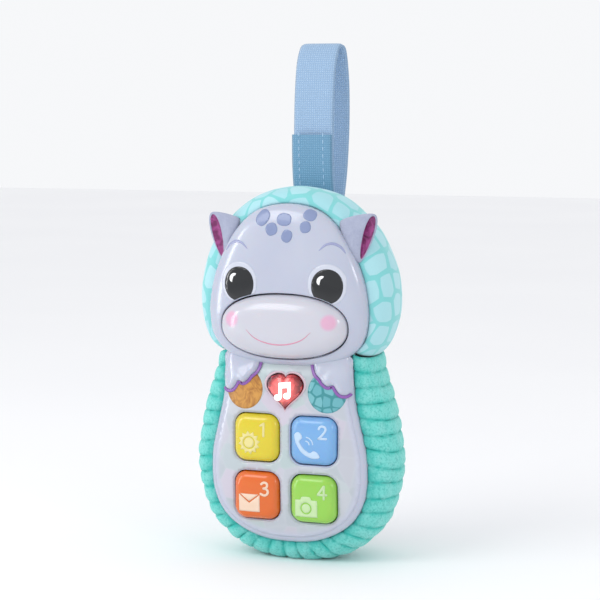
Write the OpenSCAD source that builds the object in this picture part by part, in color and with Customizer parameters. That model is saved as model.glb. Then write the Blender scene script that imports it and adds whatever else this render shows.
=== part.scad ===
// Baby's toy phone: a hard hippo-faced front module set into a stuffed plush body with a hanging strap.
// X runs to the right of the face, Y runs backwards (the face looks towards -Y), Z runs up.
// The origin is under the middle of the object, on the surface that it stands on.

/* [Plush body] */
// Half width of the ribbed body at its widest
body_half_w = 45; // [42:0.5:48]
// Half width of the hood at its widest
hood_half_w = 43.3; // [41:0.5:46]
// Height of the top of the hood
hood_top = 157; // [155:0.5:160]
// Thickness of the plush skin
skin_t = 1.6; // [1.2:0.1:2]

/* [Front shell] */
// Y of the rim where the hard shell meets the plush
rim_y = -19; // [-20:0.5:-18]
// How far the face stands out from the rim
face_h = 7; // [6:0.5:9]
// How far the key panel stands out from the rim
panel_h = 4; // [3:0.5:5]
// Wall of the moulded shells
wall = 2; // [1.6:0.1:2.4]

/* [Keys] */
// Side of a key
key_w = 19.8; // [18:0.1:20.2]
// Corner radius of a key
key_r = 4.8; // [3:0.1:6]
// Gap between a key and its hole
key_gap = 0.4; // [0.3:0.05:0.6]
// Sideways pitch of the keys
key_pitch_x = 25.2; // [25:0.1:26]
// Upright pitch of the keys
key_pitch_z = 24.4; // [24:0.1:26]
// Travel of a key
key_travel = 1.5; // [0.8:0.1:1.6]

/* [Muzzle and heart] */
// Width of the muzzle button
muzzle_w = 55.2; // [50:0.2:56]
// Height of the muzzle button
muzzle_h = 26.6; // [24:0.2:28]
// Height of the muzzle's centre
muzzle_z = 99.8; // [98:0.2:101]
// Width of the heart button
heart_w = 15.6; // [14:0.2:16]

/* [Electronics] */
// Diameter of an AAA cell
cell_d = 10.5; // [10.5]
// Length of an AAA cell
cell_l = 44.5; // [44.5]
// Diameter of the speaker
speaker_d = 26; // [24:0.5:26]

/* [Strap] */
// Width of the webbing
strap_w = 18; // [15:0.5:20]
// Thickness of the webbing
strap_t = 1.3; // [1:0.1:1.6]

/* [Hidden] */
$fn = 48;

mid_y = -5.5;                      // plane where the plush is widest
back_y = 21.5;                     // outer face of the fabric back
rear_face_y = back_y + 2;          // outer face of the rear cover
skirt_y = rim_y + 3.5;             // back edge of the front shell's skirt
flange_y = skirt_y + 0.2;          // front of the rear cover's flange
flange_t = 2;
board_y = -10.5;                   // front of the main board
board_t = 1.6;
mat_t = 1.4;
dome_t = 0.7;                      // rubber dome, drawn squashed flat
pad_t = 0.3;
play = 0.3;                        // left between a fully pressed key and its dome
fit = 0.2;                         // gap between pieces that only lie together
key_mid_z = 40.4;                  // middle of the four keys
muzzle_power = 2.25;               // above 2, the muzzle is fuller than an ellipse
heart_z = 72.8;
keys = [[-1, 1], [1, 1], [-1, -1], [1, -1]];
key_colours = ["#dccb45", "#7aaee0", "#dd7229", "#9fd067"];
sink = 1.2;                        // how far the body settles on its flattened base
tub_w = 48;
tub_z0 = 20;
tub_z1 = 137;
tub_r = 12;
face_c = [0, 115];                 // centres that the two domes close on
panel_c = [0, 46];
steps = 3;                         // spline steps between two outline points
wells = [[0, 39.6], [-18.5, 73], [18.5, 73], [-18.5, 118], [18.5, 118]];
speaker_z = 57.2;
clamp_x = speaker_d / 2 + 1.4;      // the clamp's two fixing points
bay_z0 = 82;
bay_z1 = 132;
bay_w = 27;
bay_depth = 13;
door_w = 31;
door_h = 56;
door_z = (bay_z0 + bay_z1) / 2 - 1;
switch_z = 74;
cell_y = rear_face_y - 2.6 - cell_d / 2;
post_y = board_y - fit - mat_t - dome_t - key_travel - play;
muzzle_post_y = board_y - fit - mat_t - pad_t - key_travel - play;
board_c = [0, 53.5];
board_fix = [[-12, 81.5], [12, 81.5]];
muzzle_fix = [[-9.5, muzzle_z], [9.5, muzzle_z]];

// Outlines, right-hand half, each as [x, z]. The body's go from the waist down to the bottom and the hood's
// from the waist up to the crown, three to a ring, so that the points of one face those of the next.
body_out = [[34, 87], [36.8, 77.5], [40.2, 68.5], [43.2, 56], [body_half_w, 41],
    [42.7, 27.5], [35.4, 14.5], [20, 3.2], [0, -sink]];
body_rim = [[27.9, 88.6], [28.9, 78], [29.7, 68], [32.2, 57], [34.7, 43],
    [33.7, 28], [27.2, 17], [14.6, 10.1], [0, 8.4]];
body_back = [[26.5, 87], [27.5, 77], [29.5, 66], [31, 54], [31, 40],
    [28, 27], [21.5, 18], [12, 13], [0, 11.5]];
hood_out = [[34, 87], [39.8, 94.5], [43.1, 107], [41.6, 123], [34.6, 138],
    [23.4, 149.5], [12, 155.3], [0, hood_top]];
hood_rim = [[27.9, 88.6], [33.6, 94.5], [35.2, 106], [33.3, 118.5], [28.6, 131],
    [21.6, 141.5], [11.8, 148.6], [0, 150.6]];
hood_back = [[26.5, 87], [28.7, 95.5], [30.5, 107], [30, 119], [26, 130],
    [19, 138], [10, 142.6], [0, 144]];
face_half = [[0, 150.2], [12.5, 147.8], [21.6, 140.8], [28.3, 130.5], [33, 118.5],
    [34.8, 106], [33.3, 95.5], [28, 88.6], [20, 85], [10, 83.3], [0, 83]];
panel_half = [[0, 94], [14, 93], [24.5, 90.5], [27.5, 85.5], [28.2, 78], [29.3, 68], [31.8, 57], [34.3, 44],
    [33.4, 28.5], [26.8, 17.3], [14.3, 10.5], [0, 8.8]];
// Strap centre line as [y, z], from its end behind the tab, over the top and down to the back seam
strap_path = [[11.9, 156], [11, 168], [11, 182], [11.8, 195], [14, 206], [18, 212.3], [22.2, 213.9],
    [26.6, 211.5], [29.6, 204], [30.8, 193], [30.4, 178], [28, 162], [24.6, 150], [22.6, 144.8]];
tab_path = [[10.9, 155.2], [9.4, 160], [8.6, 169], [8.5, 178]];

function lerp(a, b, t) = a + (b - a) * t;
function catmull(a, b, c, d, t) =
    0.5 * (2 * b + (c - a) * t + (2 * a - 5 * b + 4 * c - d) * t * t + (3 * b - a - 3 * c + d) * t * t * t);
// Smooth open curve through the points
function spline(p, n) = concat(
    [for (i = [0:len(p) - 2]) for (k = [0:n - 1])
        catmull(p[max(i - 1, 0)], p[i], p[i + 1], p[min(i + 2, len(p) - 1)], k / n)],
    [p[len(p) - 1]]);
// A half outline that ends on x = 0, joined to its mirror image
function both(p) = concat(p, [for (i = [len(p) - 2:-1:0]) [-p[i][0], p[i][1]]]);
// A half outline that starts and ends on x = 0, closed into a ring
function ring(p) = let (s = spline(p, 2)) concat(s, [for (i = [len(s) - 2:-1:1]) [-s[i][0], s[i][1]]]);
function towards(p, c, d) = p + (c - p) * d / max(norm(c - p), 0.01);
// Rounded rectangle as points, centred on [0, 0]
function rounded(w, h, r, n = 5) = [for (q = [0:3]) for (k = [0:n]) let (a = 90 * (q + k / n))
    [(q == 0 || q == 3 ? 1 : -1) * (w / 2 - r) + r * cos(a), (q < 2 ? 1 : -1) * (h / 2 - r) + r * sin(a)]];
// Key centre as [x, z]
function key_at(i) = [keys[i][0] * key_pitch_x / 2, key_mid_z + keys[i][1] * key_pitch_z / 2];
// Share of the way out at which a dome has risen to sin(a) of its height
function dome_s(a) = pow(cos(a), 2 / 3);

// Draws a flat shape given in [x, z] as a slab from y0 to y1
module slab(y0, y1) {
    translate([0, y1, 0]) rotate([90, 0, 0]) linear_extrude(y1 - y0) children();
}

// Rod along Y
module rod(x, z, y0, y1, d, $fn = $fn) {
    translate([x, y1, z]) rotate([90, 0, 0]) cylinder(d = d, h = y1 - y0);
}

// Closed dome over an outline: straight from y0 to y1, then rounded over to a height h in front of y1
module dome(outline, c, y0, y1, h, rows = 5) {
    n = len(outline);
    rings = concat([for (p = outline) [p[0], y0, p[1]]],
        [for (k = [0:rows - 1]) let (a = 90 * k / rows) for (p = outline) let (q = lerp(c, p, dome_s(a)))
            [q[0], y1 - h * sin(a), q[1]]]);
    apex = len(rings);
    points = concat(rings, [[c[0], y1 - h, c[1]], [c[0], y0, c[1]]]);
    sides = [for (k = [0:rows - 1]) for (i = [0:n - 1]) let (j = (i + 1) % n, a = k * n, b = (k + 1) * n)
        each [[a + i, b + j, b + i], [a + i, a + j, b + j]]];
    caps = [for (i = [0:n - 1]) let (j = (i + 1) % n) each [[rows * n + i, rows * n + j, apex], [j, i, apex + 1]]];
    polyhedron(points = points, faces = concat(sides, caps));
}

// Band between an outer and an inner grid of points, [station][point], closed at its edges and ends
module band(outer, inner) {
    n = len(outer);
    m = len(outer[0]);
    points = concat([for (s = outer) each s], [for (s = inner) each s]);
    o = n * m;
    skins = [for (i = [0:n - 2]) for (j = [0:m - 2]) let (a = i * m + j, b = a + m)
        each [[a, b, b + 1], [a, b + 1, a + 1], [o + a, o + b + 1, o + b], [o + a, o + a + 1, o + b + 1]]];
    edges = [for (i = [0:n - 2]) let (a = i * m, b = a + m, c = a + m - 1, d = c + m)
        each [[a, o + b, b], [a, o + a, o + b], [c, d, o + d], [c, o + d, o + c]]];
    ends = [for (j = [0:m - 2]) let (a = j, b = (n - 1) * m + j)
        each [[a, a + 1, o + a + 1], [a, o + a + 1, o + a], [b, o + b + 1, b + 1], [b, o + b, o + b + 1]]];
    polyhedron(points = points, faces = concat(skins, edges, ends));
}

// Points across one station of the plush, from the rim over the widest line to the back seam
function across(rim, out, back, inset, n = 5) =
    let (o = towards(out, rim, inset), f = towards(rim, out, fit), y0 = rim_y + 1.2 + inset, y1 = back_y - inset)
    concat(
        [for (k = [0:n]) let (a = 90 * k / n, q = lerp(f, o, sin(a)))
            [q[0], lerp(mid_y, y0, cos(a)), max(q[1], inset)]],
        [for (k = [1:n]) let (a = 90 * k / n, q = lerp(back, o, cos(a)))
            [q[0], lerp(mid_y, y1, sin(a)), max(q[1], inset)]]);
// The same number of points straight down the hollow that takes the module
function inside(rim, back, inset, n = 5) =
    [for (k = [0:2 * n]) let (q = lerp(towards(rim, [0, rim[1]], 0.5), back, k / (2 * n)))
        [q[0], lerp(skirt_y + 3, back_y - 2 - inset, k / (2 * n)), max(q[1], inset)]];

// Smooth line through a half outline and its mirror image, always walked so that the faces point outwards
function stations(p, n) = let (s = spline(both(p), n), last = len(s) - 1)
    p[0][1] < p[len(p) - 1][1] ? s : [for (i = [last:-1:0]) s[i]];

module plush_skin(rim, out, back) {
    r = stations(rim, steps);
    o = stations(out, steps);
    b = stations(back, steps);
    band([for (i = [0:len(r) - 1]) across(r[i], o[i], b[i], 0)],
        [for (i = [0:len(r) - 1]) across(r[i], o[i], b[i], skin_t)]);
}

module plush_filling(rim, out, back) {
    r = stations(rim, 2);
    o = stations(out, 2);
    b = stations(back, 2);
    band([for (i = [0:len(r) - 1]) across(r[i], o[i], b[i], skin_t + 0.6, 4)],
        [for (i = [0:len(r) - 1]) inside(r[i], b[i], skin_t + 0.6, 4)]);
}

// Flat ribbon that follows a path of [y, z] points
module ribbon(path, w, t, n = 3) {
    p = spline(path, n);
    last = len(p) - 1;
    normals = [for (i = [0:last]) let (d = p[min(i + 1, last)] - p[max(i - 1, 0)]) [-d[1], d[0]] / norm(d)];
    outer = [for (i = [0:last]) let (q = p[i] + normals[i] * t / 2) [for (x = [-w / 2, w / 2]) [x, q[0], q[1]]]];
    inner = [for (i = [0:last]) let (q = p[i] - normals[i] * t / 2) [for (x = [-w / 2, w / 2]) [x, q[0], q[1]]]];
    band(outer, inner);
}

module rounded_square(w, r) {
    polygon(rounded(w, w, r));
}

// Fuller than an ellipse, as [x, z] at an angle
function oval(w, h, a) = [w / 2 * sign(cos(a)) * pow(abs(cos(a)), 2 / muzzle_power),
    h / 2 * sign(sin(a)) * pow(abs(sin(a)), 2 / muzzle_power)];

// Heart outline of width w, drawn round [0, 0]
module heart(w) {
    k = w / 32;
    polygon([for (i = [0:31]) let (a = 360 * i / 32)
        [k * 16 * pow(sin(a), 3), k * (13 * cos(a) - 5 * cos(2 * a) - 2 * cos(3 * a) - cos(4 * a) + 2)]]);
}

module heart_block(w, y0, y1) {
    translate([0, 0, heart_z]) slab(y0, y1) heart(w);
}

// Hole that a key slides in, as a hull of its four corners
module key_hole(i, w) {
    c = key_at(i);
    hull() for (sx = [-1, 1]) for (sz = [-1, 1])
        rod(c[0] + sx * (w / 2 - key_r), c[1] + sz * (w / 2 - key_r), rim_y - 12, skirt_y, 2 * key_r, $fn = 32);
}

module muzzle_block(w, h, y0, y1) {
    translate([0, 0, muzzle_z]) slab(y0, y1) polygon([for (k = [0:39]) oval(w, h, 9 * k)]);
}

// The little arm that comes out from under the chin and its three-fingered hand
module arm(side) {
    hull() for (p = [[22.5, 85, 4.2], [23.5, 76, 2.8], [19, 76.5, 2.8], [15.8, 80, 2.6]])
        translate([side * p[0], rim_y - 2.6, p[1]]) sphere(r = p[2], $fn = 14);
}

module shell_openings() {
    for (i = [0:3]) key_hole(i, key_w + 2 * key_gap);
    heart_block(heart_w + 2 * key_gap, rim_y - 12, skirt_y);
    muzzle_block(muzzle_w + 2 * key_gap, muzzle_h + 2 * key_gap, rim_y - 16, skirt_y);
}

module front_shell() {
    color("#c9cde3") {
        difference() {
            union() {
                dome(ring(face_half), face_c, skirt_y, rim_y, face_h);
                dome(ring(panel_half), panel_c, skirt_y, rim_y, panel_h);
                arm(-1);
                arm(1);
            }
            dome([for (p = ring(face_half)) towards(p, face_c, wall)], face_c, skirt_y + 1, rim_y, face_h - wall);
            dome([for (p = ring(panel_half)) towards(p, panel_c, wall)], panel_c, skirt_y + 1, rim_y, panel_h - wall);
            shell_openings();
        }
        for (w = wells) let (root = rim_y - (w[1] > 88 ? face_h : panel_h) + 1.8) difference() {
            rod(w[0], w[1], root, board_y - 1.2, 5.6);
            rod(w[0], w[1], root + 2, board_y, 2.2);
        }
        for (p = board_fix) difference() {
            rod(p[0], p[1], rim_y - 2, board_y - 0.1, 4.2);
            rod(p[0], p[1], board_y - 3.4, board_y, 1.8);
        }
    }
}

// Printed plastic sheet over the flat part of the key panel
module panel_label() {
    color("#cdd2d8") difference() {
        intersection() {
            dome(ring(panel_half), panel_c, skirt_y, rim_y, panel_h + 0.35);
            slab(rim_y - 9, rim_y - 1)
                polygon([for (p = ring(panel_half)) lerp(panel_c, p, 0.88)]);
        }
        dome(ring(panel_half), panel_c, skirt_y + 1, rim_y, panel_h + 0.02);
        slab(rim_y - 9, skirt_y) polygon([for (p = ring(face_half)) towards(p, face_c, -0.4)]);
        for (s = [-1, 1]) hull() {
            rod(s * 21, 79, rim_y - 9, skirt_y, 15, $fn = 16);
            rod(s * 24, 84, rim_y - 9, skirt_y, 12, $fn = 16);
        }
        shell_openings();
    }
}

// Skin lofted through rings of equally many points, capped flat at both ends
module loft(rings) {
    n = len(rings[0]);
    last = len(rings) - 1;
    polyhedron(points = [for (r = rings) each r], faces = concat(
        [for (i = [0:last - 1]) for (k = [0:n - 1]) let (a = i * n, j = (k + 1) % n)
            each [[a + k, a + n + k, a + n + j], [a + k, a + n + j, a + j]]],
        [[for (k = [0:n - 1]) k], [for (k = [n - 1:-1:0]) last * n + k]]));
}

// Ring of the muzzle's outline at a share s of its size, drawn in by inset, at depth y
function muzzle_ring(s, inset, y) = [for (k = [0:39])
    let (q = oval((muzzle_w - 2 * inset) * s, (muzzle_h - 2 * inset) * s, 9 * k)) [q[0], y, muzzle_z - q[1]]];
function post_ring(r, y) = [for (k = [0:39]) [r * cos(9 * k), y, muzzle_z - r * sin(9 * k)]];

// Bulging hollow nose, a wide push button with a post behind it
module muzzle_button() {
    edge_y = rim_y - 4.6;
    bulge = face_h + 0.9;
    rows = 6;
    color("#d9d6e2") loft(concat(
        [muzzle_ring(0.03, 0, edge_y - bulge)],
        [for (k = [rows - 1:-1:0]) let (a = 90 * k / rows) muzzle_ring(dome_s(a), 0, edge_y - bulge * sin(a))],
        [muzzle_ring(1, 0, rim_y + 0.4), muzzle_ring(1, wall, rim_y + 0.4)],
        [for (k = [0:rows - 2]) let (a = 90 * k / rows) muzzle_ring(dome_s(a), wall, edge_y - (bulge - wall) * sin(a))],
        [post_ring(3, edge_y - bulge + wall), post_ring(3, muzzle_post_y)]));
}

module key(i) {
    c = key_at(i);
    top = rim_y - panel_h - 2.4;
    color(key_colours[i]) {
        intersection() {
            translate([c[0], 0, c[1]]) slab(top, rim_y + 1.6) rounded_square(key_w, key_r);
            translate([c[0], top + 75, c[1]]) sphere(r = 75, $fn = 240);
        }
        translate([c[0], 0, c[1]]) slab(rim_y + 1.4, rim_y + 2.1) rounded_square(key_w + 2.4, key_r);
        rod(c[0], c[1], rim_y + 1.9, post_y, 5);
    }
}

module key_1() { key(0); }
module key_2() { key(1); }
module key_3() { key(2); }
module key_4() { key(3); }

// Clear red gem that glows from behind
module heart_button() {
    color("#c23b40") {
        heart_block(heart_w, rim_y - panel_h - 1.2, rim_y + 1.4);
        translate([0, 0, -heart_w * 0.02]) heart_block(heart_w * 0.72, rim_y - panel_h - 2.4, rim_y - panel_h - 1.2);
        difference() {
            union() {
                heart_block(heart_w + 2, rim_y + 1.4, rim_y + 2.6);
                rod(0, heart_z, rim_y + 2.6, post_y, 9);
            }
            rod(0, heart_z, rim_y + 1.2, post_y + 1, 6.4);
        }
    }
}

// Rubber mat with a dome under each key
module keypad_mat() {
    y1 = board_y - fit;
    y0 = y1 - mat_t;
    color("#b9bcc0") {
        difference() {
            translate([0, 0, board_c[1]]) slab(y0, y1) polygon(rounded(33, 60, 8));
            rod(0, heart_z, y0 - 1, y1 + 1, 5);
            for (w = wells) rod(w[0], w[1], y0 - 1, y1 + 1, 9);
            for (p = board_fix) rod(p[0], p[1], y0 - 1, y1 + 1, 4.8);
        }
        for (i = [0:3]) rod(key_at(i)[0], key_at(i)[1], y0 - dome_t, y0, 7);
        difference() {
            rod(0, heart_z, y0 - dome_t, y0, 10);
            rod(0, heart_z, y0 - 1, y0 + 1, 5);
        }
    }
}

module main_board() {
    color("#2f7d4f") difference() {
        translate([0, 0, board_c[1]]) slab(board_y, board_y + board_t) polygon(rounded(36, 62, 8));
        for (w = wells) rod(w[0], w[1], board_y - 1, board_y + board_t + 1, 9);
        for (p = board_fix) rod(p[0], p[1], board_y - 1, board_y + board_t + 1, 2.4);
    }
}

// Glob-top chip, crystal, capacitor and resistors on the back of the board
module board_chips() {
    y = board_y + board_t;
    color("#20242a") {
        rod(0, 50, y, y + 1.8, 11);
        rod(-11, 60, y, y + 6.5, 5);
        translate([6, y, 60]) cube([9, 3.4, 3.4]);
        for (k = [0:4]) translate([-6 + 3 * k, y, 66.5]) cube([1.2, 0.6, 2]);
        translate([-4, y, 78]) cube([8, 5, 4]);
    }
}

module heart_led() {
    color("#f4f1ea") {
        rod(0, heart_z, board_y - 3.4, board_y, 4);
        translate([0, board_y - 3.4, heart_z]) intersection() {
            sphere(d = 4);
            translate([-3, -3, -3]) cube([6, 3, 6]);
        }
    }
}

// Small board on two posts behind the muzzle
module muzzle_board() {
    color("#2f7d4f") difference() {
        translate([0, 0, muzzle_z]) slab(board_y, board_y + board_t) polygon(rounded(24, 14, 2));
        for (p = muzzle_fix) rod(p[0], p[1], board_y - 1, board_y + board_t + 1, 2.4);
    }
}

module muzzle_mat() {
    color("#b9bcc0") {
        difference() {
            translate([0, 0, muzzle_z]) slab(board_y - fit - mat_t, board_y - fit) polygon(rounded(14, 12, 2));
            rod(0, muzzle_z, board_y - 3, board_y - fit - 0.6, 4);
        }
        rod(0, muzzle_z, board_y - fit - mat_t - pad_t, board_y - fit - 0.6, 3.6);
    }
}

// A screw along Y with its head at y1
module screw(x, z, y0, y1, d, head_d, head_t) {
    difference() {
        union() {
            rod(x, z, y0, y1 - head_t, d);
            rod(x, z, y1 - head_t, y1, head_d);
        }
        for (a = [0, 90]) translate([x, y1, z]) rotate([0, a, 0])
            cube([head_d * 0.7, head_t, head_d * 0.16], center = true);
    }
}

// Two screws hold the main board to the front shell, and two hold the muzzle board to the rear cover
module board_screws() {
    color("#c0c3c8") {
        for (p = board_fix) screw(p[0], p[1], board_y - 2.6, board_y + board_t + 1.4, 2, 3.8, 1.3);
        for (p = muzzle_fix) translate([0, 2 * board_y - 1.4, 0]) mirror([0, 1, 0])
            screw(p[0], p[1], board_y - 6, board_y, 2, 3.8, 1.3);
    }
}

module speaker() {
    y1 = rear_face_y - wall - 0.3;
    color("#3a3d42") {
        rod(0, speaker_z, y1 - 2, y1, speaker_d);
        translate([0, y1 - 2, speaker_z]) rotate([90, 0, 0]) cylinder(r1 = speaker_d / 2 - 2, r2 = 8, h = 4);
        rod(0, speaker_z, y1 - 10, y1 - 6, 17);
    }
}

// Plastic ring with four feet that holds the speaker down
module speaker_clamp() {
    y1 = rear_face_y - wall - 2.5;
    color("#8f949c") difference() {
        union() {
            rod(0, speaker_z, y1 - 1.6, y1, speaker_d - 1);
            for (s = [-1, 1]) translate([s * (clamp_x - 1.7), 0, speaker_z]) slab(y1 - 1.6, y1)
                square([7, 7], center = true);
        }
        rod(0, speaker_z, y1 - 2, y1 + 1, speaker_d - 3.4);
        for (s = [-1, 1]) rod(s * clamp_x, speaker_z, y1 - 3, y1 + 1, 1.8);
    }
}

// Thin insulated wire: one tube swept along a smooth line through the points
module wire(points, d, sides = 8) {
    p = spline(points, 4);
    last = len(p) - 1;
    loft([for (i = [0:last]) let (v = p[min(i + 1, last)] - p[max(i - 1, 0)], t = v / norm(v),
        u = cross(t, [1, 0, 0.01]), a = u / norm(u), b = cross(t, a))
        [for (k = [0:sides - 1]) p[i] + (a * cos(360 * k / sides) + b * sin(360 * k / sides)) * d / 2]]);
}

module speaker_leads() {
    color("#c8332f") wire([[-3, 10.9, 52], [-3, 4, 50], [-8, -4, 46], [-8, -8.4, 46]], 1.3);
    color("#23262b") wire([[3, 10.9, 52], [3, 4, 50], [8, -4, 46], [8, -8.4, 46]], 1.3);
}

module battery_leads() {
    color("#c8332f") wire([[-8, 6.6, 86], [-8, 2, 84], [-12, -4, 72], [-12, -8.4, 72]], 1.3);
    color("#23262b") wire([[8, 6.6, 86], [8, 2, 84], [12, -4, 72], [12, -8.4, 72]], 1.3);
}

module muzzle_leads() {
    for (s = [-1, 1]) color(s < 0 ? "#e3e3e3" : "#d9b23a")
        wire([[s * 4, -8.4, 94.5], [s * 4, -5, 93], [s * 4, -5, 85], [s * 4, -8.4, 83.4]], 1.1);
}

// Flange that backs the front shell, deep tub, battery bay and speaker grille in one moulding
module rear_cover() {
    tub_c = (tub_z0 + tub_z1) / 2;
    tub_h = tub_z1 - tub_z0;
    bay_c = (bay_z0 + bay_z1) / 2;
    bay_h = bay_z1 - bay_z0;
    back = rear_face_y;
    inner = back - wall;
    color("#c3c8df") difference() {
        union() {
            difference() {
                union() {
                    slab(flange_y, flange_y + flange_t)
                        polygon([for (p = ring(module_half())) towards(p, [0, clamp_z(p[1])], 0.3)]);
                    translate([0, 0, tub_c]) slab(flange_y, back - 0.5) polygon(rounded(tub_w, tub_h, tub_r));
                    translate([0, 0, tub_c]) slab(back_y + fit, back) polygon(rounded(tub_w + 6, tub_h + 6, tub_r + 3));
                }
                translate([0, 0, tub_c]) slab(flange_y - 1, inner)
                    polygon(rounded(tub_w - 2 * wall, tub_h - 2 * wall, tub_r - wall));
            }
            translate([0, 0, bay_c]) slab(inner - bay_depth - 1.5, inner + 0.5)
                polygon(rounded(bay_w + 3, bay_h + 3, 3));
            translate([0, 0, door_z]) slab(inner - 1.7, inner + 0.5) polygon(rounded(door_w + 3, door_h + 3, 4));
            for (w = wells) rod(w[0], w[1], board_y, inner + 0.5, 8);
            for (s = [-1, 1]) rod(s * clamp_x, speaker_z, inner - 2.3, inner + 0.5, 3.4);
            for (p = muzzle_fix) difference() {
                rod(p[0], p[1], board_y + board_t + 0.1, inner - bay_depth - 1, 5);
                rod(p[0], p[1], board_y, board_y + board_t + 5, 1.8);
            }
        }
        translate([0, 0, bay_c]) slab(inner - bay_depth, back + 1) polygon(rounded(bay_w, bay_h, 2));
        translate([0, 0, door_z]) slab(inner - 0.2, back + 1) polygon(rounded(door_w + 0.6, door_h + 0.6, 4));
        rod(0, door_z - door_h / 2 + 3.4, inner - 1.5, back + 1, 2.4);
        translate([0, 0, switch_z]) slab(inner - 1, back + 1) polygon(rounded(12, 4.6, 2));
        grille_holes(inner - 1, back + 1);
        for (w = wells) {
            rod(w[0], w[1], board_y + 2, back + 1, 6.4);
            rod(w[0], w[1], board_y - 1, board_y + 3, 2.9);
        }
    }
}

// Outline of the whole module, right-hand half, crown to bottom
function module_half() = concat([for (i = [0:6]) face_half[i]], [[27.9, 88.6]], [for (i = [4:11]) panel_half[i]]);
function clamp_z(z) = z > 88 ? 115 : 46;

// Holes over the speaker: one in the middle and three rings
module grille_holes(y0, y1) {
    rod(0, speaker_z, y0, y1, 2);
    for (r = [1:3]) for (k = [0:6 * r - 1]) let (a = 360 * k / (6 * r))
        rod(3.8 * r * cos(a), speaker_z + 3.8 * r * sin(a), y0, y1, 2);
}

module housing_screws() {
    color("#b4b8be") for (w = wells) screw(w[0], w[1], rim_y + 3.4, board_y + 4, 2.6, 5, 1.8);
}

module battery_door() {
    back = rear_face_y;
    screw_z = door_z - door_h / 2 + 3.4;
    color("#b9bfda") difference() {
        union() {
            translate([0, 0, door_z]) slab(back - wall, back) polygon(rounded(door_w, door_h, 3.7));
            for (s = [-1, 1]) translate([s * 8, 0, door_z + door_h / 2 - 0.6]) slab(back - wall, back - wall + 1)
                square([5, 1.6], center = true);
        }
        rod(0, screw_z, back - wall - 1, back + 1, 3);
        rod(0, screw_z, back - 1.2, back + 1, 6);
        for (k = [0:4]) translate([0, 0, door_z + 18 - 2.4 * k]) slab(back - 0.5, back + 1) square([14, 1], center = true);
    }
}

module door_screw() {
    color("#b4b8be") screw(0, door_z - door_h / 2 + 3.4, rear_face_y - wall - 1.2, rear_face_y - 0.1, 2, 4.6, 1);
}

// Two AAA cells side by side, one turned end for end
module battery_cells() {
    for (s = [-1, 1]) translate([s * 5.7, cell_y, bay_z0 + (bay_z1 - bay_z0 - cell_l) / 2 + (s > 0 ? 1.2 : -1.2)])
        color("#3f7fb5") {
            translate([0, 0, s > 0 ? 0 : 1]) cylinder(d = cell_d, h = cell_l - 1);
            translate([0, 0, s > 0 ? cell_l - 1 : 0]) cylinder(d = 3.6, h = 1);
        }
}

module contact_plates() {
    color("#c9ccd2") {
        for (s = [-1, 1]) translate([s * 5.7 - 4.5, cell_y - 4.5, s > 0 ? bay_z1 - 0.6 : bay_z0 + 0.1]) cube([9, 9, 0.5]);
        for (s = [-1, 1]) translate([s * 5.7 - 4.5, cell_y - 4.5, s > 0 ? bay_z0 + 0.1 : bay_z1 - 0.6]) cube([9, 9, 0.5]);
        translate([-10.2, cell_y - 4.5, bay_z1 - 0.6]) cube([20.4, 9, 0.5]);
    }
}

// Coil springs on the flat ends of the cells, each a stack of rings
module contact_springs() {
    gap = (bay_z1 - bay_z0 - cell_l) / 2;
    color("#c9ccd2") for (s = [-1, 1]) {
        z0 = s > 0 ? bay_z0 + 0.6 : bay_z1 - gap + 1.2 - 2.3;
        translate([s * 5.7, cell_y, z0 + 0.2]) spring(2.6, 0.6, gap + 1.2 - 1);
    }
}

module spring(r, d, h) {
    turns = floor(h / (d * 1.3));
    for (k = [0:turns - 1]) translate([0, 0, d / 2 + k * (h - d) / max(turns - 1, 1)])
        rotate_extrude() translate([r, 0]) circle(d = d, $fn = 16);
    translate([r - 0.2, -0.2, d / 2]) cube([0.4, 0.4, h - d]);
}

module slide_switch() {
    y1 = rear_face_y - wall - 1.8;
    color("#3a3d42") difference() {
        translate([0, 0, switch_z]) slab(y1 - 5, y1) square([17, 7], center = true);
        translate([0, 0, switch_z]) slab(y1 - 2, y1 + 1) square([10.4, 2.8], center = true);
    }
}

module switch_knob() {
    y1 = rear_face_y - wall - 1.8;
    color("#7c6fb0") {
        translate([0, 0, switch_z]) slab(y1 - 1.8, rear_face_y - 0.9) square([3.6, 2.2], center = true);
        translate([0, 0, switch_z]) slab(rear_face_y - 0.9, rear_face_y + 0.6) polygon(rounded(5, 3.9, 1));
    }
}

module body_cover() { color("#5fd0c4") plush_skin(body_rim, body_out, body_back); }
module body_stuffing() { color("#f2f2ee") plush_filling(body_rim, body_out, body_back); }
module hood_cover() { color("#aee2e6") plush_skin(hood_rim, hood_out, hood_back); }
module hood_stuffing() { color("#f2f2ee") plush_filling(hood_rim, hood_out, hood_back); }

// Flat fabric back with an opening for the rear cover
module back_panel() {
    tub_c = (tub_z0 + tub_z1) / 2;
    color("#9fdde0") difference() {
        slab(back_y - 1.5, back_y) polygon([for (p = back_ring()) towards(p, [0, 77], 0.4)]);
        translate([0, 0, tub_c]) slab(back_y - 3, back_y + 1)
            polygon(rounded(tub_w + 0.6, tub_z1 - tub_z0 + 0.6, tub_r + 0.3));
    }
}

// Back seam as one closed outline
function back_ring() = let (h = spline(both(hood_back), steps), b = spline(both(body_back), steps), n = len(b))
    concat(h, [for (i = [n - 2:-1:1]) b[i]]);

// Ball at [x, y, z] on one side of the head
module ball(side, p, r, n) {
    translate([side * p[0], p[1], p[2]]) sphere(r = r, $fn = n);
}

// One folded ear: an outer cup of velour and a satin lining inside it
module ear_body(side) {
    hull() {
        ball(side, [26.3, -19.2, 139.8], 2.2, 20);
        ball(side, [34.6, -18.9, 144], 2.6, 20);
        ball(side, [30.8, -20.2, 130.2], 1.8, 20);
    }
}

module ear_hollow(side, r) {
    hull() {
        ball(side, [31.5, -20.7, 138], r * 0.75, 16);
        ball(side, [37.5, -21.3, 143.5], r, 16);
        ball(side, [34.5, -21.3, 131], r * 0.6, 16);
    }
}

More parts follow.
